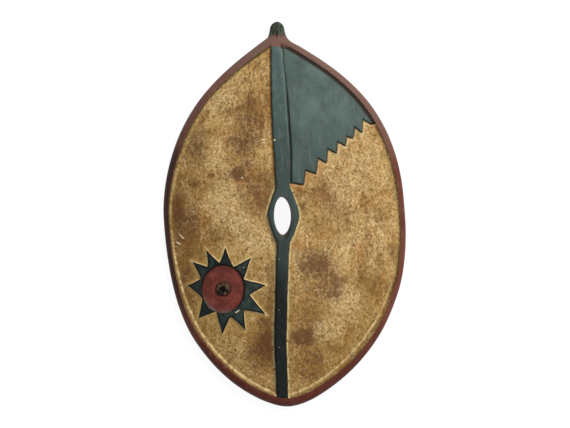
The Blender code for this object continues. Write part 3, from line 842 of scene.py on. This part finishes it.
def arm_loop():
    """A strap of wood bent down from the back and up again, wider where it leaves the board."""
    body = bmesh.new()
    rings = []
    for x, z, lean, flare in loop_path():
        half_width = LOOP_WIDTH / 2 + flare * LOOP_FLARE
        half_thick = LOOP_THICKNESS / 2 + flare * LOOP_FLARE / 2
        across = Vector((math.sin(lean), 0.0, -math.cos(lean)))
        middle = Vector((x, LOOP_Y, z))
        ring = []
        for side, out in loop_section(half_width, half_thick):
            place = middle + Vector((0.0, side, 0.0)) + across * out
            place -= place.normalized() * RIPPLE * abs(noise.noise(place / RIPPLE_LENGTH))
            place.z = max(place.z, 0.0)
            ring.append(body.verts.new(place))
        rings.append(ring)
    for first, second in zip(rings, rings[1:]):
        for corner in range(len(first)):
            following = (corner + 1) % len(first)
            body.faces.new((first[corner], first[following], second[following], second[corner]))
    body.faces.new(rings[0][::-1])
    body.faces.new(rings[-1])
    bmesh.ops.recalc_face_normals(body, faces=body.faces)
    return mesh_object("arm_loop", body)


def joined(board, strap):
    """The board with the strap grown into it, as one closed mesh."""
    union = board.modifiers.new("arm_loop", "BOOLEAN")
    union.operation = "UNION"
    union.solver = "EXACT"
    union.object = strap
    graph = bpy.context.evaluated_depsgraph_get()
    whole = bpy.data.meshes.new_from_object(board.evaluated_get(graph))
    board.modifiers.clear()
    board.data = whole
    bpy.data.objects.remove(strap)
    whole.shade_smooth()
    whole.set_sharp_from_angle(angle=SHARP_ANGLE)
    return board


# What the paint reads off the finished surface

def field_of(rows, name, width=3, kind=float):
    """One field of every row in a list of the mesh, as an array."""
    found = np.empty(len(rows) * width, kind)
    rows.foreach_get(name, found)
    return found.reshape(-1, width)


def bend_of(mesh):
    """How far each point stands out of its neighbours, in mm: positive on an arris."""
    points, normals = field_of(mesh.vertices, "co"), field_of(mesh.vertices, "normal")
    edges = field_of(mesh.edges, "vertices", 2, int)
    ends = np.vstack([edges, edges[:, ::-1]])
    count = np.bincount(ends[:, 0], minlength=len(points))
    total = np.column_stack([
        np.bincount(ends[:, 0], weights=points[ends[:, 1], axis], minlength=len(points))
        for axis in range(3)
    ])
    away = points - total / np.maximum(count, 1)[:, None]
    stands = (away * normals).sum(axis=1) * MM
    spread = np.bincount(ends[:, 0], weights=stands[ends[:, 1]], minlength=len(points))
    return (stands + spread) / (count + 1)


def patched(points, rows):
    """How strong the soft ovals of these rows are at each point."""
    total = np.zeros(len(points))
    for x, y, half_width, half_length, strength in rows:
        away = np.hypot((points[:, 0] - x) / half_width, (points[:, 1] - y) / half_length)
        total += strength * smooth_step((PATCH_REACH - away) * PATCH_FADE)
    return total


def write_attributes(mesh):
    points = field_of(mesh.vertices, "co")
    plan = points[:, :2]
    depths = measure(plan)
    front, back = front_height(plan, depths), back_height(plan)
    side = (points[:, 2] - back + SLACK / 2) / np.maximum(front - back + SLACK, SLACK)
    values = {name: depth * MM for name, depth in depths.items() if name != "board"}
    values["front"] = np.clip(side, 0.0, 1.0)
    values["strap"] = (points[:, 2] < back - STRAP_CLEAR).astype(float)
    values["bend"] = bend_of(mesh)
    values["stain"], values["light"] = patched(plan, STAINS), patched(plan, LIGHTS)
    values["crack"] = marks(plan, CRACK_LOOPS, CRACKS)[1]
    values["scratch"] = marks(plan, SCRATCH_LOOPS, SCRATCHES)[1]
    for name, numbers in values.items():
        layer = mesh.attributes.new(name, "FLOAT", "POINT")
        layer.data.foreach_set("value", np.ascontiguousarray(numbers, np.float32))


# How far inside its form's line each coat of paint begins, in millimetres
COAT_STARTS = {"panel": -0.2, "star": 0.9, "disk": 0.3, "nub": 2.0, "rib": 0.3, "rim": -0.2}

# How ragged and how soft its edge is, in millimetres, and the share of a band that is full
RAGGED = 1.6
COAT_EDGE = 0.25
BAND_CORE = 0.15

# Heights at which the red of the rim crosses the rib, and at which the knob turns green
RED_ON_RIB = (0.2610, 0.2650)
GREEN_ON_KNOB = (0.2780, 0.2880)

# The reach and the fading of the soft ovals of STAINS and LIGHTS
PATCH_REACH = 5 / 3
PATCH_FADE = 0.75

# How far the paint and the grain stand up or sink, in millimetres
FLECK_RISE = 0.16
PIT_RISE = -0.22
DAUB_RISE = 0.30
BRUSH_RISE = 0.16
RING_RISE = 0.20
ROUGHNESS = 0.48
SPECULAR = 0.10

# Colours of the paints, from 0 to 255
OCHRE = (184, 148, 88)
OCHRE_PALE = (206, 174, 118)
OCHRE_BROWN = (118, 84, 44)
CREAM = (232, 210, 160)
PIT = (64, 42, 24)
OLIVE = (104, 84, 42)
GOLDEN = (148, 112, 52)
HALO = (186, 150, 84)
LEMON = (182, 158, 98)
ORANGE = (168, 104, 44)
# Brown of the stains, also used as painted shade on the rim's wall above the panel
STAIN_AND_SHADE = (84, 46, 28)
RIM_RED = (110, 64, 50)
RIM_MAROON = (84, 38, 29)
RIM_WORN = (122, 97, 86)
RIM_BLACK = (56, 36, 30)
SLATE = (92, 107, 101)
SLATE_LOW = (66, 80, 76)
SLATE_GREEN = (76, 94, 82)
SLATE_PALE = (112, 126, 118)
RIB_TOP = (82, 103, 99)
RIB_MIDDLE = (62, 74, 71)
RIB_FOOT = (17, 19, 18)
SOOT = (20, 27, 25)
SOOT_WORN = (84, 92, 80)
DISK_RED = (124, 62, 52)
DISK_DARK = (96, 47, 39)
NUB_BROWN = (104, 84, 60)
KNOB_GREEN = (76, 86, 74)
KNOB_DARK = (44, 50, 42)
# Near black: dirt, and also painted shade in hollows, grooves, cracks and on walls turned from the
# light
DIRT_AND_SHADE = (22, 17, 13)
CHALK = (236, 224, 190)
WOOD = (122, 86, 52)
WOOD_DARK = (76, 50, 30)
WOOD_PALE = (152, 116, 76)


def linear(colour):
    shares = [part / 255 for part in colour]
    return tuple(
        share / 12.92 if share <= 0.04045 else ((share + 0.055) / 1.055) ** 2.4 for share in shares
    )


class Paint:
    """A material in the making, with its colour so far. The methods add nodes to it."""

    def __init__(self, name):
        self.material = bpy.data.materials.new(name)
        self.material.use_nodes = True
        self.nodes = self.material.node_tree.nodes
        self.links = self.material.node_tree.links
        self.shader = self.nodes["Principled BSDF"]
        self.place = self.nodes.new("ShaderNodeTexCoord").outputs["Object"]
        self.seen = {}
        self.colour = OCHRE
        self.breakup = self.grain(0.0060, 3.0, 1.0, 111.0, 0.6)
        self.ragged = self.sway(self.breakup, RAGGED)

    def feed(self, socket, value):
        if isinstance(value, bpy.types.NodeSocket):
            self.links.new(value, socket)
        elif isinstance(value, tuple):
            socket.default_value = (*linear(value), 1.0)
        else:
            socket.default_value = value

    def node(self, kind, settings, inputs, output=0):
        """Adds a node of that kind, set and fed as told, and gives back one of its outputs."""
        made = self.nodes.new("ShaderNode" + kind)
        for name, value in settings.items():
            setattr(made, name, value)
        for name, value in inputs.items():
            self.feed(made.inputs[name], value)
        return made.outputs[output]

    def read(self, name):
        if name not in self.seen:
            self.seen[name] = self.node("Attribute", {"attribute_name": name}, {}, "Fac")
        return self.seen[name]

    def math(self, operation, first, second=0.0):
        return self.node("Math", {"operation": operation}, {0: first, 1: second})

    def add(self, first, *others):
        for other in others:
            first = self.math("ADD", first, other)
        return first

    def times(self, first, *others):
        for other in others:
            first = self.math("MULTIPLY", first, other)
        return first

    def blend(self, *parts):
        """The sum of some values, each times its share."""
        return self.add(*(self.times(value, share) for value, share in parts))

    def most(self, first, second):
        return self.math("MAXIMUM", first, second)

    def invert(self, share):
        return self.math("SUBTRACT", 1.0, share)

    def sway(self, grain, reach):
        """A grain as a movement to both sides of 0."""
        return self.times(self.add(grain, -0.5), reach)

    def step(self, value, low, high):
        """0 at the low value, 1 at the high one, and smooth between."""
        inputs = {"Value": value, "From Min": low, "From Max": high}
        return self.node("MapRange", {"interpolation_type": "SMOOTHSTEP"}, inputs, "Result")

    def band(self, value, middle, reach):
        """1 where the value is at the middle, 0 where it is further than the reach from it."""
        away = self.math("ABSOLUTE", self.math("SUBTRACT", value, middle))
        return self.step(away, reach, reach * BAND_CORE)

    def mix(self, share, under, over):
        return self.node("Mix", {"data_type": "RGBA"}, {0: share, 6: under, 7: over}, 2)

    def coat(self, over, strength, *shares):
        """Lays a paint over the colour, as strongly as told, where all the shares are high."""
        self.colour = self.mix(self.times(strength, *shares), self.colour, over)

    def lay(self, share, paint, *given):
        """Lays all that a function paints over the colour, where the share is high."""
        under = self.colour
        made = paint(self, *given)
        self.colour = self.mix(share, under, self.colour)
        return made

    def grain(self, size, detail=2.0, stretch=1.0, seed=0.0, roughness=0.5, lean=0.0):
        """Noise with features of that size in metres, drawn out along Y as many times as told."""
        turned = self.node("Mapping", {"vector_type": "TEXTURE"}, {
            "Vector": self.place, "Location": Vector((seed, seed, seed)),
            "Rotation": Vector((0.0, 0.0, lean)), "Scale": Vector((size, size * stretch, size)),
        })
        inputs = {"Vector": turned, "Scale": 1.0, "Detail": detail, "Roughness": roughness}
        return self.node("TexNoise", {}, inputs, "Fac")

    def axis(self, axis):
        if axis not in self.seen:
            self.seen[axis] = self.node("SeparateXYZ", {}, {0: self.place}, axis)
        return self.seen[axis]

    def across(self, low, high):
        """0 at the first x, 1 at the second, and smooth between."""
        return self.step(self.axis(0), low, high)

    def along(self, low, high):
        """The same between two heights."""
        return self.step(self.axis(1), low, high)

    def within(self, name, low, high):
        """The same between two distances inside a form."""
        return self.step(self.read(name), low, high)

    def line(self, name, stray=1.0):
        """The distance inside a form, as a ragged edge of paint follows it."""
        return self.add(self.read(name), self.times(self.ragged, stray))

    def inner(self, name, stray=1.0):
        """1 where the coat of a form lies and 0 round it."""
        start = COAT_STARTS[name]
        return self.step(self.line(name, stray), start - COAT_EDGE, start + COAT_EDGE)

    def bump(self, heights):
        """Presses (share, millimetres) pairs into the surface."""
        total = 0.0
        for share, depth in heights:
            total = self.add(self.times(share, depth / MM), total)
        return self.node("Bump", {}, {"Strength": 1.0, "Distance": 1.0, "Height": total})


def field_paint(p):
    """Ochre dabbed over brown wood, worn through in patches, flecked and streaked."""
    cloud = p.grain(0.060, 3.0, 1.3, 1.0)
    patch = p.grain(0.020, 4.0, 1.4, 2.0, 0.6)
    mottle = p.grain(0.0065, 4.0, 1.2, 3.0, 0.65, 0.5)
    streak = p.grain(0.0036, 3.0, 14.0, 4.0, 0.6)
    rising = p.grain(0.0019, 3.0, 2.8, 5.0, 0.6, -0.80)
    falling = p.grain(0.0023, 3.0, 2.4, 6.0, 0.6, 0.65)
    worn = p.blend((cloud, 0.44), (patch, 0.32), (mottle, 0.24))
    frayed = p.add(p.sway(patch, 0.9), p.sway(mottle, 1.2))
    stain = p.add(p.read("stain"), p.times(frayed, 1.9, p.within("stain", 0.02, 0.30)))
    stain = p.step(stain, 0.0, 1.05)
    streaked = p.times(p.along(0.06, 0.11), p.band(p.axis(0), -0.050, 0.050))
    light = p.add(p.read("light"), p.times(frayed, p.within("light", 0.02, 0.30)))
    light = p.step(light, 0.0, 1.0)
    left = p.across(-0.105, -0.175)
    right = p.band(p.axis(0), 0.095, 0.100)
    upper = p.along(-0.030, 0.060)
    foot = p.add(p.axis(1), p.times(p.axis(0), 0.25), p.sway(cloud, 0.25))
    foot = p.step(foot, -0.020, -0.170)
    p.colour = p.mix(p.step(worn, 0.36, 0.52), OCHRE_BROWN, OCHRE)
    p.coat(OCHRE_PALE, 0.60, p.step(worn, 0.50, 0.62))
    # Partly painted highlight: the field is painted paler toward the upper right, where the light
    # falls
    p.coat(OCHRE_PALE, 0.24, right, upper, p.step(worn, 0.36, 0.50))
    p.coat(OLIVE, 0.25, p.step(p.grain(0.035, 2.0, 1.0, 7.0), 0.48, 0.64))
    p.coat(ORANGE, 0.36, p.step(p.grain(0.028, 3.0, 1.2, 8.0), 0.46, 0.68))
    # Partly painted shade: the field is painted browner toward its left edge, the side turned from
    # the light
    p.coat(OCHRE_BROWN, 0.45, left)
    p.coat(GOLDEN, 0.50, foot)
    p.coat(OCHRE_PALE, 0.55, light)
    p.coat(STAIN_AND_SHADE, 0.84, stain)
    streaks = p.step(streak, 0.46, 0.64)
    p.coat(STAIN_AND_SHADE, p.add(p.times(streaked, 0.50), 0.18), streaks)
    dabs = p.most(rising, falling)
    gaps = p.math("MINIMUM", rising, falling)
    dense = p.step(p.blend((patch, 0.5), (cloud, 0.3), (mottle, 0.2)), 0.42, 0.60)
    calm = p.most(p.times(stain, 0.75), p.times(streaked, 0.45))
    calm = p.invert(p.most(calm, p.times(foot, 0.30)))
    dense = p.most(p.times(dense, 0.80), light)
    flecks = p.times(p.step(dabs, 0.54, 0.67), p.add(p.times(dense, 0.90), 0.10), calm)
    pits = p.times(p.step(gaps, 0.44, 0.32), p.step(mottle, 0.62, 0.42))
    p.coat(OCHRE_BROWN, 0.55, p.step(gaps, 0.47, 0.37))
    p.coat(CREAM, 0.86, flecks)
    p.coat(PIT, 0.62, pits)
    return flecks, pits, mottle


def rim_foot(p):
    """The slope inside the rim: painted shade in a dark band at the rim's edge, and a pale line
    along its foot: ochre gathered in the crease, with painted highlight added on the lower side.
    """
    wall = p.line("wall", 1.6)
    left = p.across(0.02, -0.05)
    lower = p.step(p.add(p.axis(1), p.times(left, -0.085)), -0.080, -0.190)
    held = p.step(p.breakup, 0.40, 0.60)
    slope = p.times(p.step(wall, 0.4, 2.2), p.most(lower, left))
    p.coat(OLIVE, 0.50, slope, p.step(p.breakup, 0.66, 0.42))
    foot = p.band(wall, 0.6, 3.8)
    p.coat(LEMON, 0.60, foot, held, p.add(p.times(left, 0.4), 0.6))
    # Partly painted highlight: more cream along the foot of the slope on the lower side, which
    # faces the light
    p.coat(CREAM, 0.42, p.band(wall, 0.6, 3.0), lower, held)
    p.coat(CREAM, 0.22, p.band(wall, 0.4, 1.6), lower)
    # Painted shade: a dark band along the rim's inner edge, weaker on the lower side that faces
    # the light
    edge = p.line("rim", 1.5)
    p.coat(DIRT_AND_SHADE, 0.70, p.band(edge, -0.9, 2.9), p.add(p.times(lower, -0.45), 1.0))


def carved_lines(p):
    """The pale lines along the foot of every carved edge: ochre left along them, with painted
    highlight added where the edges face the light.
    """
    held = p.step(p.breakup, 0.36, 0.50)
    low = p.along(0.070, 0.020)
    rib = p.line("rib")
    # Partly painted highlight: the cream beside the rib is laid on its lower half only
    p.coat(CREAM, 0.85, p.band(rib, -1.3, 1.8), low, held)
    p.coat(LEMON, 0.34, p.band(rib, -2.2, 3.6), low, held)
    p.coat(ORANGE, 0.36, p.band(rib, -1.9, 2.4), p.invert(low))
    panel = p.line("panel")
    p.coat(CREAM, 0.40, p.band(panel, -3.0, 2.6), held)
    near = p.across(0.075, 0.040)
    p.coat(ORANGE, 0.36, p.band(panel, -2.6, 8.0), near)
    star = p.line("star")
    # Painted highlight: the cream round the star is stronger toward its upper right, where its
    # walls face the light
    lit = p.step(p.add(p.axis(0), p.axis(1), 0.222), -0.060, 0.050)
    p.coat(HALO, 0.42, p.band(star, -1.6, 5.0))
    lit = p.add(p.times(lit, 0.50), 0.35)
    p.coat(CREAM, 0.90, p.band(star, 0.0, 1.8), lit, held)


def slate_paint(p):
    cloud = p.grain(0.040, 3.0, 1.4, 41.0)
    brush = p.grain(0.0045, 3.0, 9.0, 42.0, 0.55, 0.12)
    fine = p.grain(0.0028, 3.0, 1.0, 43.0, 0.6)
    p.colour = p.mix(p.step(cloud, 0.24, 0.66), SLATE_LOW, SLATE)
    p.coat(SLATE_GREEN, 0.5, p.step(p.grain(0.022, 2.0, 1.0, 44.0), 0.50, 0.68))
    low = p.step(p.add(p.axis(1), p.times(p.axis(0), -0.45)), 0.16, 0.02)
    p.coat(SLATE_LOW, 0.75, low)
    p.coat(RIB_MIDDLE, 0.42, p.step(brush, 0.54, 0.70))
    p.coat(SLATE_PALE, 0.25, p.step(brush, 0.44, 0.30))
    p.coat(SLATE_PALE, 0.30, p.step(fine, 0.60, 0.75))
    p.coat(RIB_MIDDLE, 0.35, p.step(fine, 0.38, 0.26))
    return fine


def rib_paint(p, fine):
    """The slate paint of the rib, painted lighter near the head and darker to near black down the
    shield, partly as painted light and shade.
    """
    smudge = p.grain(0.020, 3.0, 2.5, 51.0)
    along = p.add(p.axis(1), p.sway(smudge, 0.10))
    right = p.across(-0.011, -0.004)
    p.colour = p.mix(p.step(along, 0.05, 0.26), RIB_MIDDLE, RIB_TOP)
    p.coat(RIB_MIDDLE, 0.45, p.step(smudge, 0.50, 0.64), p.step(along, 0.10, 0.18))
    p.coat(RIB_FOOT, p.times(p.step(along, 0.0, -0.150), 0.85))
    p.coat(SLATE_PALE, 0.20, p.step(fine, 0.60, 0.74), p.step(along, -0.15, 0.05))
    # Painted highlight along the rib's right arris, on the side that faces the light
    arris = p.times(p.band(p.read("rib"), 2.2, 1.5), right)
    p.coat(SLATE_PALE, 0.38, arris, p.step(along, 0.06, 0.12))
    scuffed = p.step(p.grain(0.0048, 3.0, 1.0, 53.0, 0.6), 0.54, 0.64)
    p.coat(RIB_MIDDLE, 0.45, scuffed, p.step(along, 0.14, 0.20))
    brush = p.step(p.grain(0.0030, 3.0, 16.0, 52.0, 0.55), 0.50, 0.68)
    upper = p.step(along, -0.10, 0.10)
    p.coat(SLATE_PALE, p.add(p.times(upper, 0.20), 0.05), brush)
    # Painted shade on the rib's left wall, which is turned from the light
    shade = p.times(p.within("rib", 2.0, 0.6), p.invert(right))
    p.coat(DIRT_AND_SHADE, 0.60, shade)
    rim_of_eye = p.band(p.read("eye"), -1.0, 1.6)
    lower_left = p.times(p.across(-0.008, -0.016), p.along(0.0, -0.02))
    p.coat(SLATE_PALE, 0.45, rim_of_eye, lower_left)


def soot_paint(p):
    """The black of the star, rubbed grey along the middle of its rays."""
    worn = p.step(p.grain(0.0030, 4.0, 1.0, 61.0, 0.65), 0.50, 0.66)
    cloudy = p.step(p.grain(0.012, 3.0, 1.0, 62.0), 0.42, 0.60)
    right = p.across(-0.115, -0.050)
    middle = p.within("star", 1.6, 5.0)
    rubbed = p.add(p.times(cloudy, 0.5), p.times(right, 0.4), 0.1)
    p.colour = SOOT
    p.coat(SLATE_LOW, 0.58, middle, rubbed)
    p.coat(SOOT_WORN, p.add(p.times(right, 0.40), 0.15), worn, middle)
    flakes = p.step(p.grain(0.0020, 2.0, 1.0, 63.0, 0.6), 0.68, 0.74)
    p.coat(CREAM, 0.40, flakes, right)


def disk_paint(p):
    cloud = p.grain(0.016, 3.0, 1.0, 71.0)
    fine = p.grain(0.0028, 3.0, 1.0, 72.0, 0.6)
    faded = p.step(p.blend((cloud, 0.6), (fine, 0.4)), 0.42, 0.58)
    p.colour = p.mix(faded, DISK_DARK, DISK_RED)
    p.coat(DISK_DARK, 0.55, p.within("disk", 7.0, 0.5))
    # A pale grey smear on the lower left of the disk's edge: smeared paint, and partly painted
    # highlight on the wall that faces the light
    lower = p.add(p.axis(1), p.times(p.axis(0), 0.5), p.sway(fine, 0.03))
    lower = p.step(lower, -0.190, -0.212)
    smear = p.times(p.band(p.read("disk"), 0.6, 5.6), lower, p.step(cloud, 0.38, 0.52))
    p.coat(SLATE_PALE, 0.55, smear, p.step(fine, 0.34, 0.56))


def rim_paint(p):
    cloud = p.grain(0.030, 3.0, 1.5, 81.0)
    fine = p.grain(0.0040, 3.0, 2.0, 82.0, 0.6)
    height = p.add(p.axis(1), p.sway(cloud, 0.06))
    left = p.across(-0.03, -0.12)
    faded = p.step(p.blend((cloud, 0.6), (fine, 0.4)), 0.38, 0.62)
    p.colour = p.mix(faded, RIM_MAROON, RIM_RED)
    # Partly painted highlight: the rim is painted redder toward the right and paler toward the
    # head, the sides that face the light; the grey is also rubbed paint
    p.coat(RIM_RED, 0.5, p.across(0.0, 0.08))
    head = p.step(height, 0.05, 0.17)
    p.coat(RIM_WORN, p.add(p.times(left, -0.30), 0.72), head)
    p.coat(RIM_RED, 0.45, p.step(fine, 0.42, 0.62), p.step(cloud, 0.40, 0.60))
    # Darker toward the foot and black along the left side: partly the paint's own wear and partly
    # painted shade on the sides turned from the light
    p.coat(RIM_MAROON, 0.70, p.step(height, -0.17, -0.26))
    worn = p.times(p.step(height, -0.22, -0.10), p.step(height, 0.19, 0.07))
    p.coat(RIM_BLACK, 0.85, worn, left)
    # Painted shade along the outer edge of the left half, which turns from the light
    edge = p.step(p.add(p.read("outline"), p.times(fine, 2.0)), 3.2, 1.0)
    p.coat(RIM_BLACK, 0.50, edge, p.across(0.10, 0.0))
    rubbed = p.step(p.grain(0.0065, 4.0, 2.0, 83.0, 0.6), 0.56, 0.70)
    p.coat(RIM_WORN, 0.40, rubbed, p.invert(p.times(worn, left, 0.8)))


def knob_paint(p):
    fine = p.grain(0.0035, 3.0, 3.0, 91.0, 0.6)
    p.colour = p.mix(p.step(fine, 0.40, 0.62), KNOB_DARK, KNOB_GREEN)
    # Painted shade on the knob's rounded edge, which turns from the light
    edge = p.step(p.add(p.read("outline"), p.times(fine, 2.0)), 4.4, 1.6)
    p.coat(KNOB_DARK, 0.6, edge)


def bare_wood(p):
    """The unpainted back: its grain, pale ridges that are partly wear and partly painted
    highlight, and the strap dark from handling.
    """
    rings = p.grain(0.0032, 4.0, 22.0, 101.0, 0.6)
    cloud = p.grain(0.060, 3.0, 2.0, 102.0)
    pores = p.grain(0.0010, 2.0, 14.0, 103.0)
    p.colour = p.mix(p.step(rings, 0.36, 0.64), WOOD_DARK, WOOD)
    p.coat(WOOD_PALE, 0.45, p.step(cloud, 0.45, 0.65))
    p.coat(WOOD_DARK, 0.5, p.step(pores, 0.42, 0.32))
    # Partly painted highlight: the wood is paler where it stands out, on ridges and arrises
    p.coat(WOOD_PALE, 0.35, p.within("bend", 0.01, 0.06))
    p.coat(WOOD_DARK, 0.35, p.read("strap"))
    return rings


def panel_shade(p):
    """Painted shade: in the groove beside the rib, paler toward the head, on the rim's wall above
    the panel, beside the rib, and along the panel's teeth.
    """
    groove = p.times(p.within("panel", -2.8, -2.2), p.within("rib", -2.8, -2.2))
    p.coat(p.mix(p.along(0.12, 0.24), RIB_MIDDLE, SLATE_PALE), groove)
    head_wall = p.times(p.within("wall", -1.4, -0.4), p.within("panel", -3.0, -1.0))
    p.coat(RIB_MIDDLE, head_wall)
    shaded = p.times(head_wall, p.step(p.line("wall", 2.0), -1.6, 0.6))
    p.coat(STAIN_AND_SHADE, 0.55, shaded)
    p.coat(DIRT_AND_SHADE, 0.55, shaded)
    beside = p.times(p.within("rib", -6.0, -2.6), p.within("panel", -3.0, -1.0))
    p.coat(RIB_FOOT, 0.42, beside, p.along(0.24, 0.16))
    # Painted shadow along the foot of the panel's teeth
    teeth = p.band(p.line("panel"), -0.4, 2.0)
    p.coat(DIRT_AND_SHADE, 0.75, teeth, p.within("rib", -3.0, -5.0))


def nub_paint(p):
    """The brown nub, with painted shade inside the disk's upper right edge and in the nub's hole,
    and a dark ring round the nub's foot.
    """
    # Painted shade inside the upper right edge of the sunken disk, the side turned from the light
    away = p.step(p.add(p.axis(0), p.times(p.axis(1), 2.0), 0.344), -0.070, -0.010)
    p.coat(DIRT_AND_SHADE, 0.82, p.band(p.line("disk", 0.6), -0.5, 2.8), away)
    p.coat(p.mix(p.step(p.breakup, 0.42, 0.60), DIRT_AND_SHADE, NUB_BROWN), p.inner("nub"))
    p.coat(DIRT_AND_SHADE, 0.70, p.band(p.line("nub"), 1.0, 2.6))
    # Painted shade in the nub's hole
    p.coat(DIRT_AND_SHADE, 0.92, p.step(p.line("hole"), -0.8, 1.2))


def painted_wood():
    """All the paint of the shield, laid one colour over the other."""
    p = Paint("painted_wood")
    flecks, pits, mottle = field_paint(p)
    rim_foot(p)
    carved_lines(p)
    fine = p.lay(p.inner("panel"), slate_paint)
    panel_shade(p)
    p.lay(p.inner("star"), soot_paint)
    p.lay(p.inner("disk"), disk_paint)
    nub_paint(p)
    p.lay(p.inner("rib"), rib_paint, fine)
    lip = p.times(p.within("lip", 2.0, 6.0), p.within("eye", 0.0, -1.0))
    p.coat(NUB_BROWN, 0.5, lip, p.along(EYE_Y, EYE_Y - 0.02))
    over_rib = p.step(p.add(p.axis(1), p.times(p.ragged, 0.0012)), *RED_ON_RIB)
    p.lay(p.most(p.inner("rim", 1.2), over_rib), rim_paint)
    on_knob = p.step(p.add(p.axis(1), p.times(p.ragged, 0.0030)), *GREEN_ON_KNOB)
    p.lay(on_knob, knob_paint)
    # Dirt and painted shade in the cracks
    p.coat(DIRT_AND_SHADE, 0.9, p.within("crack", 0.05, 0.7))
    p.coat(CHALK, 0.95, p.within("scratch", 0.05, 0.6))
    wrapped = p.step(p.line("outline", 2.0), 3.6, 2.6)
    painted = p.most(p.step(p.line("front", 0.1), 0.35, 0.45), wrapped)
    rings = p.lay(p.invert(painted), bare_wood)

    p.feed(p.shader.inputs["Base Color"], p.colour)
    gloss = p.add(p.blend((fine, 0.20), (mottle, 0.16)), ROUGHNESS)
    p.feed(p.shader.inputs["Roughness"], gloss)
    p.feed(p.shader.inputs["Normal"], p.bump((
        (p.times(flecks, painted), FLECK_RISE), (p.times(pits, painted), PIT_RISE),
        (p.times(mottle, painted), DAUB_RISE), (fine, BRUSH_RISE), (rings, RING_RISE),
    )))
    p.shader.inputs["Specular IOR Level"].default_value = SPECULAR
    return p.material


# The stage

def floor():
    body = bmesh.new()
    bmesh.ops.create_grid(body, x_segments=1, y_segments=1, size=FLOOR_SIDE / 2)
    made = mesh_object("floor", body)
    made.location.z = -FLOOR_DROP
    pale = bpy.data.materials.new("pale_floor")
    pale.use_nodes = True
    shader = pale.node_tree.nodes["Principled BSDF"]
    shader.inputs["Base Color"].default_value = (FLOOR_SHADE, FLOOR_SHADE, FLOOR_SHADE, 1.0)
    shader.inputs["Roughness"].default_value = FLOOR_ROUGHNESS
    shader.inputs["Specular IOR Level"].default_value = 0.0
    shader.inputs["Emission Color"].default_value = WHITE
    shader.inputs["Emission Strength"].default_value = FLOOR_GLOW
    made.data.materials.append(pale)


def lights():
    lamp = bpy.data.lights.new("soft_light", "SUN")
    lamp.energy = SUN_STRENGTH
    lamp.angle = SUN_ANGLE
    flat = math.cos(SUN_HEIGHT)
    towards = Vector((
        flat * math.cos(SUN_BEARING), flat * math.sin(SUN_BEARING), math.sin(SUN_HEIGHT),
    ))
    placed("soft_light", lamp).rotation_euler = towards.to_track_quat("Z", "Y").to_euler()
    world = bpy.data.worlds.new("studio")
    world.use_nodes = True
    sky = world.node_tree.nodes["Background"]
    sky.inputs["Strength"].default_value = SKY_STRENGTH
    sky.inputs["Color"].default_value = WHITE
    bpy.context.scene.world = world


def camera():
    lens = bpy.data.cameras.new("camera")
    lens.lens = LENS
    lens.sensor_width = SENSOR
    made = placed("camera", lens)
    back = Vector((
        -math.sin(CAMERA_LEFT) * math.cos(CAMERA_LOW),
        -math.sin(CAMERA_LOW),
        math.cos(CAMERA_LEFT) * math.cos(CAMERA_LOW),
    ))
    right = Vector((0.0, 1.0, 0.0)).cross(back).normalized()
    turned = Matrix((right, back.cross(right), back)).transposed()
    turned = turned @ Matrix.Rotation(-CAMERA_ROLL, 3, "Z")
    made.matrix_world = Matrix.Translation(CAMERA_AIM + CAMERA_DISTANCE * back) @ turned.to_4x4()
    bpy.context.scene.camera = made


camera()
lights()
floor()
shield = joined(shield_board(), arm_loop())
write_attributes(shield.data)
shield.data.materials.append(painted_wood())
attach(shield, "root")
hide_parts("shield")
bpy.context.scene.view_settings.view_transform = "Standard"
